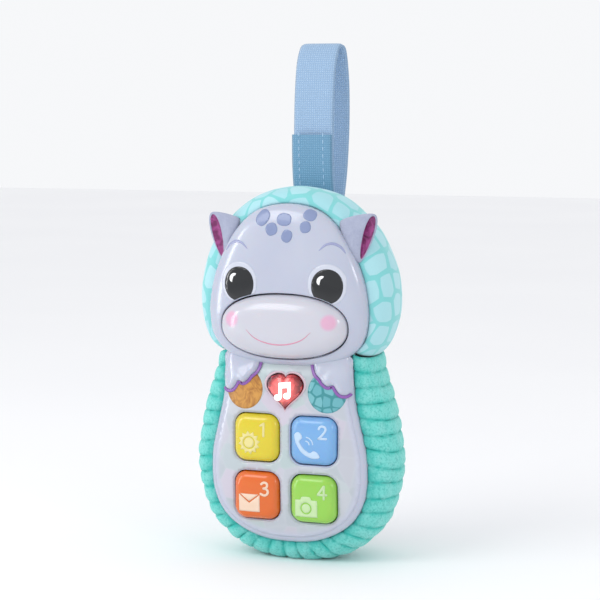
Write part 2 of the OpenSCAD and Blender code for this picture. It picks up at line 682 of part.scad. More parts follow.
module ear_outer(side) {
    color("#c4cadc") difference() {
        ear_body(side);
        ear_hollow(side, 2.3);
    }
}

module ear_lining(side) {
    color("#8f2a74") intersection() {
        ear_hollow(side, 2.2);
        ear_body(side);
    }
}

module ear_left() { ear_outer(-1); }
module ear_right() { ear_outer(1); }
module ear_left_lining() { ear_lining(-1); }
module ear_right_lining() { ear_lining(1); }

module strap_webbing() { color("#a9c6e8") ribbon(strap_path, strap_w, strap_t); }
module strap_tab() { color("#7aa9cc") ribbon(tab_path, strap_w, strap_t); }
module hook_pad() { color("#5f86a8") ribbon([[10.1, 161.5], [9.6, 168], [9.42, 176]], strap_w - 3, pad_t); }
module loop_pad() { color("#7fa0c0") ribbon([[10.6, 161.5], [10.1, 168], [10.1, 176]], strap_w - 3, pad_t); }

front_shell();
panel_label();
muzzle_button();
key_1();
key_2();
key_3();
key_4();
heart_button();
keypad_mat();
main_board();
board_chips();
heart_led();
muzzle_board();
muzzle_mat();
board_screws();
speaker();
speaker_clamp();
speaker_leads();
battery_leads();
muzzle_leads();
rear_cover();
housing_screws();
battery_door();
door_screw();
battery_cells();
contact_plates();
contact_springs();
slide_switch();
switch_knob();
body_cover();
body_stuffing();
hood_cover();
hood_stuffing();
back_panel();
ear_left();
ear_left_lining();
ear_right();
ear_right_lining();
strap_webbing();
strap_tab();
hook_pad();
loop_pad();
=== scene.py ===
# %% [markdown]
# # A baby's plush toy phone
# A hard, glossy hippo-faced keypad module sits in a stuffed velour body with a printed hood, two ears and a
# hanging strap. The CAD frame gives every size and every moving body. This file dresses that frame: smooth
# moulded skins, printed details, ribbed and printed plush, webbing and light.

import contextlib
import math

import bmesh
import bpy
import numpy as np
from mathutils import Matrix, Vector, noise
from mathutils.geometry import delaunay_2d_cdt


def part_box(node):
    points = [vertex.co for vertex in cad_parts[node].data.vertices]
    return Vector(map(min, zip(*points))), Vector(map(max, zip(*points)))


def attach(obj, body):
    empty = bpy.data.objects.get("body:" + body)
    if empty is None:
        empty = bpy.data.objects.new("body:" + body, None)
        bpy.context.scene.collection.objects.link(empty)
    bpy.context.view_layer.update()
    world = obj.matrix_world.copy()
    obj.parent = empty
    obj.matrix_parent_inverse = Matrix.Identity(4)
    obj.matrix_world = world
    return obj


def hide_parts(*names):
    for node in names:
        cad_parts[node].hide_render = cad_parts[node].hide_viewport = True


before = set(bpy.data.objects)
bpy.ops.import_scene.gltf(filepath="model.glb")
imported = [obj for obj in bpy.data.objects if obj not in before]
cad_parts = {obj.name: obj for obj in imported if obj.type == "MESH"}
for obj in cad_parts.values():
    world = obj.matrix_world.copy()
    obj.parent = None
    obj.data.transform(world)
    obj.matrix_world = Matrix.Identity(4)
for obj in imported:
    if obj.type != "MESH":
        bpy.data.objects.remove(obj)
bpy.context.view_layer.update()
MM = 0.001
ROOT = "phone_body"

# %% [markdown]
# ## Camera, floor and light
# The toy is looked at from a little to its right and a little above, with a long lens that keeps its sides
# nearly parallel. A wide plain floor and a white world stand for a studio sweep. One big soft lamp at
# the upper left draws the broad highlight on the forehead, a tall narrow one at the left draws the long line
# on the rim, and a small one at the right puts a bright spot on the cheek.

# %% Camera
AZIMUTH, ELEVATION, DISTANCE = math.radians(21), math.radians(5.8), 0.84
look_at = Vector((0.0, -5.5, 109.0)) * MM
camera_data = bpy.data.cameras.new("camera")
camera_data.lens = 120
camera = bpy.data.objects.new("camera", camera_data)
bpy.context.scene.collection.objects.link(camera)
towards_camera = Vector((math.sin(AZIMUTH) * math.cos(ELEVATION), -math.cos(AZIMUTH) * math.cos(ELEVATION),
                         math.sin(ELEVATION)))
camera.location = look_at + towards_camera * DISTANCE
camera.rotation_euler = towards_camera.to_track_quat("Z", "Y").to_euler()
bpy.context.scene.camera = camera
bpy.context.scene.view_settings.view_transform = "Standard"
print("camera at", [round(v, 3) for v in camera.location])


# %% One helper adds any shader node, and one turns a written colour into a linear one
def linear(code):
    parts = [int(code[i:i + 2], 16) / 255 for i in (1, 3, 5)]
    return tuple(c / 12.92 if c <= 0.04045 else ((c + 0.055) / 1.055) ** 2.4 for c in parts) + (1.0,)


def add(tree, kind, inputs=None, **settings):
    """Adds a node. inputs holds plain values or sockets to link, and settings are its properties."""
    made = tree.nodes.new(kind)
    for key, value in settings.items():
        setattr(made, key, value)
    for key, value in (inputs or {}).items():
        if isinstance(value, bpy.types.NodeSocket):
            tree.links.new(value, made.inputs[key])
        else:
            made.inputs[key].default_value = value
    return made


def start_material(name, colour, roughness, **shader_values):
    """A material with one Principled shader, and the place on the object that its patterns read."""
    material = bpy.data.materials.new(name)
    material.use_nodes = True
    tree = material.node_tree
    tree.nodes.clear()
    shader = add(tree, "ShaderNodeBsdfPrincipled", {"Base Color": linear(colour), "Roughness": roughness})
    for key, value in shader_values.items():
        shader.inputs[key.replace("_", " ")].default_value = value
    add(tree, "ShaderNodeOutputMaterial", {"Surface": shader.outputs["BSDF"]})
    place = add(tree, "ShaderNodeTexCoord").outputs["Object"]
    return material, tree, shader, place


def per_mm(size):
    """Texture scale, in cells per metre, for a pattern whose cells are size millimetres."""
    return 1000 / size


def mix_colours(tree, factor, low, high, blend="MIX"):
    low, high = (linear(c) if isinstance(c, str) else c for c in (low, high))
    made = add(tree, "ShaderNodeMix", {0: factor, 6: low, 7: high}, data_type="RGBA", blend_type=blend)
    return made.outputs[2]


def remap(tree, value, low, high, to_low=0.0, to_high=1.0, smooth=True):
    made = add(tree, "ShaderNodeMapRange", {"Value": value, "From Min": low, "From Max": high, "To Min": to_low,
                                            "To Max": to_high},
               interpolation_type="SMOOTHSTEP" if smooth else "LINEAR")
    return made.outputs["Result"]


def bump(tree, shader, height, depth_mm, strength=1.0, below=None):
    """Bump of a real depth. below is the normal of a coarser bump that this one lies on."""
    inputs = {"Height": height, "Distance": depth_mm * MM, "Strength": strength}
    if below is not None:
        inputs["Normal"] = below
    made = add(tree, "ShaderNodeBump", inputs)
    tree.links.new(made.outputs["Normal"], shader.inputs["Normal"])
    return made.outputs["Normal"]


def grains(tree, place, size, detail=2.0, roughness=0.5, distortion=0.0):
    made = add(tree, "ShaderNodeTexNoise", {"Vector": place, "Scale": per_mm(size), "Detail": detail,
                                            "Roughness": roughness, "Distortion": distortion})
    return made.outputs["Fac"]


# %% Floor
def sheet_of_floor():
    half = 3.0
    data = bpy.data.meshes.new("floor")
    data.from_pydata([(-half, -half, 0), (half, -half, 0), (half, half, 0), (-half, half, 0)], [], [(0, 1, 2, 3)])
    floor = bpy.data.objects.new("floor", data)
    bpy.context.scene.collection.objects.link(floor)
    material, tree, shader, place = start_material("painted_studio_floor", "#f6f6f7", 0.75)
    tree.links.new(mix_colours(tree, grains(tree, place, 300.0), "#f4f4f6", "#f9f9fa"), shader.inputs["Base Color"])
    data.materials.append(material)


sheet_of_floor()

# %% World and lamps
world = bpy.data.worlds.new("studio")
world.use_nodes = True
background = world.node_tree.nodes["Background"]
background.inputs["Color"].default_value = linear("#fafbfd")
background.inputs["Strength"].default_value = 0.97
bpy.context.scene.world = world


def lamp(name, place, aim, size, power):
    data = bpy.data.lights.new(name, "AREA")
    data.shape = "RECTANGLE"
    data.size, data.size_y = size
    data.energy = power
    made = bpy.data.objects.new(name, data)
    made.location = place
    made.rotation_euler = (Vector(place) - Vector(aim)).to_track_quat("Z", "Y").to_euler()
    bpy.context.scene.collection.objects.link(made)


lamp("big_soft_lamp", (-0.45, -0.75, 0.75), (0, 0, 0.1), (0.55, 0.45), 2.6)
lamp("left_strip", (-0.62, -0.42, 0.16), (0, 0, 0.09), (0.08, 0.5), 1.0)
lamp("right_spot", (0.62, -0.42, 0.36), (0, 0, 0.1), (0.12, 0.12), 0.5)

# %% [markdown]
# ## Moulded, printed and clear plastics
# Toy housings are injection-moulded ABS from polished tools, so they are glossy with a faint ripple. ABS has an
# index of about 1.54 and lets a little light in, which a low subsurface weight gives. The pictures are pad
# printed or sit on a pearly film. The key caps are translucent ABS and the heart is clear acrylic with facets.


# %% Lilac ABS
def moulded(name, colour, roughness=0.2, glow=0.12, deeper=None, **shader_values):
    """Polished moulded plastic: a faint ripple 3 mm across, and a slow drift in its colour."""
    material, tree, shader, place = start_material(
        name, colour, roughness, IOR=1.54, Coat_Weight=0.35, Coat_Roughness=0.06, Subsurface_Weight=glow,
        Subsurface_Scale=0.003, **shader_values)
    tree.links.new(mix_colours(tree, grains(tree, place, 26.0), deeper or colour, colour), shader.inputs["Base Color"])
    bump(tree, shader, grains(tree, place, 3.0), 0.012, 0.5)
    return material


lilac_abs = moulded("lilac_moulded_ABS", "#bbc0ce", 0.2, deeper="#acb1c6")

# %% Pearly printed film on the key panel: silver-grey facets that lean to lilac, mint and rose


def pearly_film():
    material, tree, shader, place = start_material(
        "pearly_printed_film", "#c6cdd3", 0.3, IOR=1.5, Coat_Weight=0.6, Coat_Roughness=0.1)
    flat = add(tree, "ShaderNodeVectorMath", {0: place, 1: (1, 0, 1)}, operation="MULTIPLY").outputs[0]
    shards = add(tree, "ShaderNodeTexVoronoi", {"Vector": flat, "Scale": per_mm(9.0)}, feature="F1")
    seams = add(tree, "ShaderNodeTexVoronoi", {"Vector": flat, "Scale": per_mm(9.0)}, feature="DISTANCE_TO_EDGE")
    tone = add(tree, "ShaderNodeSeparateColor", {"Color": shards.outputs["Color"]})
    cool = mix_colours(tree, tone.outputs[0], "#aab4ba", "#b9bdc8")
    warm = mix_colours(tree, remap(tree, tone.outputs[1], 0.55, 0.95), cool, "#c2bcca")
    mint = mix_colours(tree, remap(tree, tone.outputs[2], 0.6, 1.0, 0.0, 0.6), warm, "#aec3c1")
    edge = remap(tree, seams.outputs["Distance"], 0.0, 0.09, 0.35, 0.0)
    lined = mix_colours(tree, edge, mint, "#bcc2c9")
    share = add(tree, "ShaderNodeAttribute", attribute_name="share").outputs["Fac"]
    tree.links.new(mix_colours(tree, remap(tree, share, 0.85, 0.935), lined, "#b9bdcf"), shader.inputs["Base Color"])
    bump(tree, shader, tone.outputs[0], 0.02, 0.4)
    return material


pearl_film = pearly_film()


# %% Pearl-white ABS of the muzzle, with two soft printed blush spots
def blushing_pearl():
    material, tree, shader, place = start_material(
        "pearl_white_ABS", "#d6d6df", 0.2, IOR=1.54, Coat_Weight=0.35, Coat_Roughness=0.06,
        Subsurface_Weight=0.12, Subsurface_Scale=0.003)
    mirrored = add(tree, "ShaderNodeVectorMath", {0: place}, operation="ABSOLUTE").outputs[0]
    flat = add(tree, "ShaderNodeVectorMath", {0: mirrored, 1: (1, 0, 1)}, operation="MULTIPLY").outputs[0]
    reach = add(tree, "ShaderNodeVectorMath", {0: flat, 1: (21.3 * MM, 0, 102.6 * MM)},
                operation="DISTANCE").outputs["Value"]
    soft = remap(tree, reach, 2.2 * MM, 4.0 * MM, 0.85, 0.0)
    ground = mix_colours(tree, grains(tree, place, 24.0), "#bdbec8", "#c8c7d1")
    tree.links.new(mix_colours(tree, soft, ground, "#d9a2c0"), shader.inputs["Base Color"])
    bump(tree, shader, grains(tree, place, 3.0), 0.01, 0.5)
    return material


pearl_abs = blushing_pearl()


# %% Inks: pad-printed, so thin and smooth, with a slight unevenness. The same helper also makes the eyes' rings of painted highlight.
def ink(name, colour, second, roughness=0.28, size=2.5, **shader_values):
    material, tree, shader, place = start_material(name, colour, roughness, IOR=1.5, **shader_values)
    tree.links.new(mix_colours(tree, grains(tree, place, size), colour, second), shader.inputs["Base Color"])
    return material


eye_ink = ink("black_pad_print", "#0c0f13", "#12161b", 0.12, Coat_Weight=0.25, Coat_Roughness=0.03)
white_ink = ink("white_pad_print", "#f4f5f8", "#ffffff")
# Not an ink: a pale ring of painted highlight round each eye.
painted_eye_highlight = ink("pale_lilac_painted_highlight", "#c1c6d4", "#c7cbd8", 0.22, Coat_Weight=0.35, Coat_Roughness=0.06)
periwinkle_ink = ink("periwinkle_print", "#7684ab", "#8491b5", 0.24, size=6.0, Coat_Weight=0.35, Coat_Roughness=0.06)
brow_ink = ink("soft_violet_print", "#9095ba", "#9aa0c2", 0.24, Coat_Weight=0.35, Coat_Roughness=0.06)
pink_ink = ink("soft_pink_print", "#cf88a2", "#d798ae", 0.24)
violet_ink = ink("violet_print", "#8d5cab", "#7a4a9a", 0.25, Coat_Weight=0.3)


# %% The two printed balls: ochre swirls, and teal pebbles with darker lines
def swirled_ball():
    material, tree, shader, place = start_material("ochre_swirl_print", "#c98d2f", 0.3, Coat_Weight=0.5,
                                                   Coat_Roughness=0.08)
    streak = grains(tree, place, 5.0, 3.0, 0.6, 1.6)
    tone = mix_colours(tree, remap(tree, streak, 0.35, 0.65), "#a0651c", "#c88f3a")
    tree.links.new(tone, shader.inputs["Base Color"])
    return material


def pebble_print(name, cell_mm, line_mm, line, cells, cloth_map=None, **shader_values):
    """Rounded cells with lines between them, the print that the ball and the hood share. Where the piece has a
    map of its own, in millimetres, the cells lie on that, and elsewhere they lie flat in X and Z."""
    material, tree, shader, place = start_material(name, cells[0], 0.3, **shader_values)
    if cloth_map:
        run, unit = add(tree, "ShaderNodeUVMap", uv_map=cloth_map).outputs["UV"], 1.0
    else:
        apart = add(tree, "ShaderNodeSeparateXYZ", {"Vector": place}).outputs
        run, unit = add(tree, "ShaderNodeCombineXYZ", {"X": apart["X"], "Y": apart["Z"]}).outputs[0], MM
    drift = add(tree, "ShaderNodeTexNoise", {"Vector": run, "Scale": 1 / (cell_mm * 1.6 * unit)})
    bent = add(tree, "ShaderNodeVectorMath", {0: drift.outputs["Color"], 1: (cell_mm * 0.3 * unit,) * 3, 2: run},
               operation="MULTIPLY_ADD").outputs[0]
    rounding, offset, soft = 0.32, 0.13, 0.035      # in cells: how round, how far out and how soft its edge is
    near = {"Vector": bent, "Scale": 1 / (cell_mm * unit), "Randomness": 0.62}
    flat = {"voronoi_dimensions": "2D"}
    edge = add(tree, "ShaderNodeTexVoronoi", near, feature="DISTANCE_TO_EDGE", **flat).outputs["Distance"]
    cell = add(tree, "ShaderNodeTexVoronoi", near, feature="F1", **flat).outputs
    pick = add(tree, "ShaderNodeSeparateColor", {"Color": cell["Color"]}).outputs[0]
    far = add(tree, "ShaderNodeMath", {0: cell["Distance"], 1: -rounding}, operation="MULTIPLY").outputs[0]
    rounder = add(tree, "ShaderNodeMath", {0: edge, 1: far}, operation="ADD").outputs[0]
    half_line = line_mm / cell_mm / 2 - offset
    inside = remap(tree, rounder, half_line - soft, half_line + soft)
    tree.links.new(mix_colours(tree, inside, line, mix_colours(tree, pick, *cells)), shader.inputs["Base Color"])
    return material, tree, shader, place


ochre_ball = swirled_ball()
teal_ball = pebble_print("teal_pebble_print", 4.6, 0.7, "#2b868c", ("#56a2ac", "#6bb0b8"), Coat_Weight=0.5,
                         Coat_Roughness=0.08)[0]


# %% Translucent key caps, and the inks on them
def key_cap(name, colour, deeper):
    return moulded(name, colour, 0.24, 0.25, deeper)


key_plastics = [key_cap("yellow_translucent_ABS", "#dac81f", "#cdb918"),
                key_cap("blue_translucent_ABS", "#78abdc", "#6a9fd2"),
                key_cap("orange_translucent_ABS", "#e06a12", "#d25e0c"),
                key_cap("green_translucent_ABS", "#95cd4c", "#86c042")]
key_inks = [ink("cream_print", "#dccf86", "#e2d692"), ink("ice_blue_print", "#b1c9e2", "#bcd3e9"),
            ink("peach_print", "#e3c4ab", "#e9cfba"), ink("pale_green_print", "#b7d49c", "#c1dca8")]


# %% Clear red acrylic of the heart, lit by the LED behind it
def red_gem():
    material, tree, shader, place = start_material(
        "clear_red_acrylic", "#b3202b", 0.06, IOR=1.49, Coat_Weight=0.6, Coat_Roughness=0.02)
    low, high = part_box("heart_button")
    middle = tuple((low[i] + high[i]) / 2 for i in range(3))
    flat = add(tree, "ShaderNodeVectorMath", {0: place, 1: (1, 0, 1)}, operation="MULTIPLY").outputs[0]
    away = add(tree, "ShaderNodeVectorMath", {0: flat, 1: (middle[0], 0, middle[2] + 0.8 * MM)},
               operation="DISTANCE").outputs["Value"]
    shards = add(tree, "ShaderNodeTexVoronoi", {"Vector": place, "Scale": per_mm(2.4)}, feature="F1").outputs["Color"]
    tone = add(tree, "ShaderNodeSeparateColor", {"Color": shards}).outputs[0]
    # Painted reflections: random dark and light flecks stand in for the facets catching light, and the middle is
    # painted lighter (lit) as the LED's light.
    cut = mix_colours(tree, remap(tree, tone, 0.2, 0.8), "#4d0a11", "#c63a43")
    lit = remap(tree, away, 2.0 * MM, 8.5 * MM, 1.0, 0.0)
    tree.links.new(mix_colours(tree, lit, cut, "#e0605f"), shader.inputs["Base Color"])
    glow = mix_colours(tree, lit, "#150203", mix_colours(tree, tone, "#e2494b", "#ff9a90"))
    tree.links.new(glow, shader.inputs["Emission Color"])
    shader.inputs["Emission Strength"].default_value = 0.42
    return material


def lit_note():
    material, tree, shader, place = start_material("backlit_white_window", "#ffffff", 0.3)
    tree.links.new(mix_colours(tree, grains(tree, place, 3.0), "#ffeef0", "#ffffff"), shader.inputs["Emission Color"])
    shader.inputs["Emission Strength"].default_value = 1.1
    return material


gem_red = red_gem()
note_light = lit_note()
# A pink ring of painted glow on the film round the heart, standing in for the LED's light spilling there.
painted_heart_glow = ink("pink_painted_heart_glow", "#cdb6c1", "#d6c0ca", 0.3)
print("plastics and inks:", len(bpy.data.materials))

# %% [markdown]
# ## Fabrics
# The body is short-pile ribbed velour, its colour painted darker in each groove and near the module's rim as painted
# shade, and paler on a crest. It scatters light at grazing angles, which sheen gives. The hood is a smooth knit with
# printed pebbles.
# The ears are plain velour lined with satin, and the strap is polyester webbing.


# %% Pile that every velour here shares
def pile(tree, shader, place, tuft_mm, depth_mm):
    """Tufts tuft_mm across. Real pile is finer, about 0.3 mm, and is drawn coarser here so that it shows."""
    tufts = grains(tree, place, tuft_mm, 3.0, 0.65)
    clumps = grains(tree, place, tuft_mm * 5, 2.0)
    both = add(tree, "ShaderNodeMath", {0: tufts, 1: clumps}, operation="ADD").outputs[0]
    bump(tree, shader, both, depth_mm, 0.8)
    return tufts, clumps


# %% Ribbed velour, with painted shade by how deep in a groove it lies and how near the module's rim
def ribbed_velour():
    material, tree, shader, place = start_material(
        "ribbed_short_pile_velour", "#5fd0c4", 0.9, Sheen_Weight=0.5, Sheen_Roughness=0.45)
    shader.inputs["Sheen Tint"].default_value = linear("#c6f4ec")
    tufts, clumps = pile(tree, shader, place, 0.9, 0.35)
    crest = add(tree, "ShaderNodeAttribute", attribute_name="crest").outputs["Fac"]
    shade = add(tree, "ShaderNodeAttribute", attribute_name="shade").outputs["Fac"]
    # Painted shade: the colour darkens from crest to groove, standing in for the shade inside each groove.
    low = mix_colours(tree, remap(tree, crest, 0.2, 0.72), "#09908a", "#3fbfb4")
    full = mix_colours(tree, remap(tree, crest, 0.6, 1.0), low, "#74d2ca")
    # Painted shade near the module's rim, where the cloth tucks in under it.
    painted_rim_shade = mix_colours(tree, remap(tree, shade, 0.0, 0.9, 0.85, 0.0), full, "#26aaa1")
    # Paler where the pile's clumps stand higher.
    paler_clumps = mix_colours(tree, remap(tree, clumps, 0.4, 0.7, 0.0, 0.5), painted_rim_shade, "#8ad4cf")
    # Painted shade in the hollows between tufts.
    dark = mix_colours(tree, remap(tree, tufts, 0.34, 0.56, 0.5, 0.0), paler_clumps, "#22a198")
    tree.links.new(dark, shader.inputs["Base Color"])
    return material


# %% Printed knit of the hood: pebbles 9.4 mm across with lines of 1.6 mm
def printed_knit():
    material, tree, shader, place = pebble_print(
        "pebble_printed_knit", 9.4, 1.6, "#7ccacb", ("#9bd0d8", "#a8d7de"), "cloth", Sheen_Weight=0.4,
        Sheen_Roughness=0.5)
    shader.inputs["Roughness"].default_value = 0.85
    shader.inputs["Sheen Tint"].default_value = linear("#e6fbfb")
    pile(tree, shader, place, 0.8, 0.12)
    return material


# %% Plain velours and the satin lining
def plain_velour(name, colour, deeper, tuft_mm=0.8):
    material, tree, shader, place = start_material(name, colour, 0.9, Sheen_Weight=0.5, Sheen_Roughness=0.45)
    tufts, clumps = pile(tree, shader, place, tuft_mm, 0.2)
    tone = mix_colours(tree, clumps, deeper, colour)
    shadowed = mix_colours(tree, remap(tree, tufts, 0.3, 0.6, 0.35, 0.0), tone, deeper)
    tree.links.new(shadowed, shader.inputs["Base Color"])
    return material


def crushed_satin():
    material, tree, shader, place = start_material(
        "magenta_satin", "#8c2f74", 0.36, Sheen_Weight=0.4, Sheen_Roughness=0.3, Anisotropic=0.4)
    creases = grains(tree, place, 3.4, 3.0, 0.6, 0.8)
    # Painted shade and highlight: darker in the hollows of the creases and lighter on their ridges, from the same
    # noise as the bump.
    tone = mix_colours(tree, remap(tree, creases, 0.35, 0.65), "#6d1a57", "#a04487")
    tree.links.new(tone, shader.inputs["Base Color"])
    bump(tree, shader, creases, 0.5, 0.8)
    return material


# %% Webbing: rows of yarn 0.95 mm apart, on the strap's own UV map, which is in millimetres
YARN_MM, ONE_BAND = 0.95, 0.314                  # a wave texture of scale ONE_BAND has one band in each unit


def webbing(name, colour, deeper):
    material, tree, shader, place = start_material(name, colour, 0.75, Sheen_Weight=0.3, Sheen_Roughness=0.4)
    run = add(tree, "ShaderNodeUVMap", uv_map="yarn").outputs["UV"]
    cords, picks = (add(tree, "ShaderNodeTexWave", {"Vector": run, "Scale": ONE_BAND / YARN_MM, "Distortion": 0.3},
                        wave_type="BANDS", bands_direction=way).outputs["Fac"] for way in "XY")
    weave = add(tree, "ShaderNodeMath", {0: cords, 1: picks}, operation="MULTIPLY").outputs[0]
    fuzz = grains(tree, place, 0.7, 3.0)
    tone = mix_colours(tree, remap(tree, weave, 0.0, 0.6), deeper, colour)
    tree.links.new(mix_colours(tree, remap(tree, fuzz, 0.4, 0.7, 0.0, 0.3), tone, deeper), shader.inputs["Base Color"])
    bump(tree, shader, weave, 0.25, 0.7)
    return material


rib_velour = ribbed_velour()
hood_knit = printed_knit()
back_velour = plain_velour("teal_plain_velour", "#70c4bc", "#4aafa5")
ear_velour = plain_velour("lilac_short_pile_velour", "#adb3c6", "#9298b2", 0.6)
ear_satin = crushed_satin()
strap_fabric = webbing("polyester_webbing", "#a6c0da", "#8aa8c8")
# The tab is the strap's own webbing in a darker colour: painted shade.
shaded_tab_webbing = webbing("webbing_tab_with_painted_shade", "#7ca6c2", "#6390b0")
sewing_thread = ink("polyester_thread", "#9fc0dc", "#b5d0e6", 0.6, 0.5)


# %% Finishes of the CAD pieces that stay as they are
def satin_plastic(name, colour, second, grain_mm=0.6):
    """Spark-eroded tool texture: a fine even grain, and no gloss."""
    material, tree, shader, place = start_material(name, colour, 0.5, IOR=1.5)
    grain = grains(tree, place, grain_mm, 2.0)
    tree.links.new(mix_colours(tree, grain, second, colour), shader.inputs["Base Color"])
    bump(tree, shader, grain, 0.03, 0.5)
    return material


def metal(name, colour, second, roughness):
    material, tree, shader, place = start_material(name, colour, roughness, Metallic=1.0)
    wear = grains(tree, place, 1.2, 3.0, 0.6)
    tree.links.new(mix_colours(tree, wear, second, colour), shader.inputs["Base Color"])
    tree.links.new(remap(tree, wear, 0.3, 0.7, roughness * 0.8, roughness * 1.3), shader.inputs["Roughness"])
    bump(tree, shader, wear, 0.01, 0.4)
    return material


def two_tone(name, left, right, roughness=0.4):
    """One colour left of the middle and another right of it, as on a pair of wires."""
    material, tree, shader, place = start_material(name, left, roughness)
    side = add(tree, "ShaderNodeSeparateXYZ", {"Vector": place}).outputs["X"]
    tree.links.new(mix_colours(tree, remap(tree, side, -0.2 * MM, 0.2 * MM), left, right), shader.inputs["Base Color"])
    bump(tree, shader, grains(tree, place, 1.0), 0.02, 0.3)
    return material


silicone = satin_plastic("moulded_silicone", "#b9bcc0", "#a9acb1", 1.5)
black_abs = satin_plastic("black_satin_ABS", "#2a2d32", "#212429")
grey_abs = satin_plastic("grey_satin_ABS", "#8f949c", "#7f848c")
violet_abs = satin_plastic("violet_satin_ABS", "#7c6fb0", "#6d60a4")
solder_mask = satin_plastic("green_solder_mask", "#2f7d4f", "#276c43", 3.0)
zinc_steel = metal("zinc_plated_steel", "#b9bdc3", "#8e939a", 0.35)
nickel_steel = metal("nickel_plated_steel", "#cfd0d2", "#b3b5b8", 0.2)
hook_tape = satin_plastic("hook_and_loop_tape", "#7fa0c0", "#5f83a8", 0.9)
CAD_FINISH = {
    "keypad_mat": silicone, "muzzle_mat": silicone, "main_board": solder_mask, "muzzle_board": solder_mask,
    "board_chips": black_abs, "heart_led": ink("milky_epoxy", "#f4f1ea", "#e9e4d8", 0.3),
    "board_screws": zinc_steel, "speaker": black_abs, "speaker_clamp": grey_abs,
    "speaker_leads": two_tone("red_and_black_wire", "#c8332f", "#22252a"),
    "battery_leads": two_tone("red_and_black_lead", "#c8332f", "#22252a"),
    "muzzle_leads": two_tone("white_and_yellow_wire", "#e3e3e3", "#d9b23a"), "rear_cover": lilac_abs,
    "housing_screws": zinc_steel, "battery_door": lilac_abs, "door_screw": zinc_steel,
    "battery_cells": ink("printed_cell_sleeve", "#3f7fb5", "#356fa2", 0.3), "contact_plates": nickel_steel,
    "contact_springs": nickel_steel, "slide_switch": black_abs, "switch_knob": violet_abs,
    "hook_pad": hook_tape, "loop_pad": hook_tape,
}
for node_name, finish in CAD_FINISH.items():
    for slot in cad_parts[node_name].material_slots:
        slot.material = finish
print("CAD nodes with a finish:", len(CAD_FINISH))

# %% [markdown]
# ## Outlines and domes
# The head and the key panel are shallow pillows over two outlines. A pillow is a rule: a share of the way out
# from the middle gives a height, full in the middle and steep at the rim. Every skin, print and opening asks
# the same rule for its depth, so prints lie on their plastic exactly.


# %% Curves through a few points
def curve_through(points, steps, closed=False):
    """Catmull-Rom curve through points of any dimension."""
    p = np.array(points, float)
    n = len(p)
    out = []
    for i in range(n if closed else n - 1):
        a, b, c, d = (p[(i + k) % n] if closed else p[min(max(i + k, 0), n - 1)] for k in (-1, 0, 1, 2))
        for k in range(steps):
            t = k / steps
            out.append(0.5 * (2 * b + (c - a) * t + (2 * a - 5 * b + 4 * c - d) * t * t
                              + (3 * b - a - 3 * c + d) * t ** 3))
    if not closed:
        out.append(p[-1])
    return np.array(out)


def full_loop(half, steps=12):
    """Closed outline from its right-hand half, which starts and ends on the middle line."""
    return curve_through(half + [(-x, z) for x, z in half[-2:0:-1]], steps, closed=True)


def both_sides(half, steps):
    """Open line from its right-hand half, which ends on the middle line, on through the left-hand half."""
    return curve_through(half + [(-x, z) for x, z in half[-2::-1]], steps)


def rounded_loop(width, height, radius, steps=8):
    turns = [math.pi / 2 * (q + k / steps) for q in range(4) for k in range(steps + 1)]
    signs = [(1, 1), (-1, 1), (-1, -1), (1, -1)]
    return np.array([(signs[i // (steps + 1)][0] * (width / 2 - radius) + radius * math.cos(a),
                      signs[i // (steps + 1)][1] * (height / 2 - radius) + radius * math.sin(a))
                     for i, a in enumerate(turns)])


def oval_loop(width, height, power=2.0, count=120):
    angles = np.linspace(0, 2 * math.pi, count, endpoint=False)
    c, s = np.cos(angles), np.sin(angles)
    return np.stack([width / 2 * np.sign(c) * np.abs(c) ** (2 / power),
                     height / 2 * np.sign(s) * np.abs(s) ** (2 / power)], 1)


def heart_loop(width, count=48):
    k = width / 32
    a = np.linspace(0, 2 * math.pi, count, endpoint=False)
    return np.stack([k * 16 * np.sin(a) ** 3,
                     k * (14.8 * np.cos(a) - 3.7 * np.cos(2 * a) - 1.4 * np.cos(3 * a) - 0.7 * np.cos(4 * a) + 2)], 1)


def smooth_step(value, low, high):
    t = np.clip((np.asarray(value, float) - low) / (high - low), 0, 1)
    return t * t * (3 - 2 * t)


# %% The pillow rule
class Pillow:
    """Surface over a star-shaped outline round a centre, in millimetres. Y runs back from the face."""

    def __init__(self, loop, centre, rim_y, height, fullness=3.0, roundness=2.0, sink=None):
        self.loop, self.centre = np.array(loop), np.array(centre, float)
        self.rim_y, self.height, self.fullness, self.roundness, self.sink = rim_y, height, fullness, roundness, sink
        out = self.loop - self.centre
        angles = np.arctan2(out[:, 1], out[:, 0])
        order = np.argsort(angles)
        self.angles, self.reaches = angles[order], np.hypot(*out.T)[order]

    def share(self, points):
        out = np.asarray(points, float) - self.centre
        reach = np.interp(np.arctan2(out[..., 1], out[..., 0]), self.angles, self.reaches, period=2 * math.pi)
        return np.hypot(out[..., 0], out[..., 1]) / reach

    def depth(self, points):
        points = np.asarray(points, float)
        s = np.clip(self.share(points), 0, 1)
        rise = self.height * (1 - s ** self.fullness) ** (1 / self.roundness)
        if self.sink is not None:
            rise = rise * self.sink(points)
        return self.rim_y - rise

    def ring(self, share, count):
        angles = np.linspace(0, 2 * math.pi, count, endpoint=False)
        reach = np.interp(angles, self.angles, self.reaches, period=2 * math.pi) * share
        return self.centre + np.stack([reach * np.cos(angles), reach * np.sin(angles)], 1)


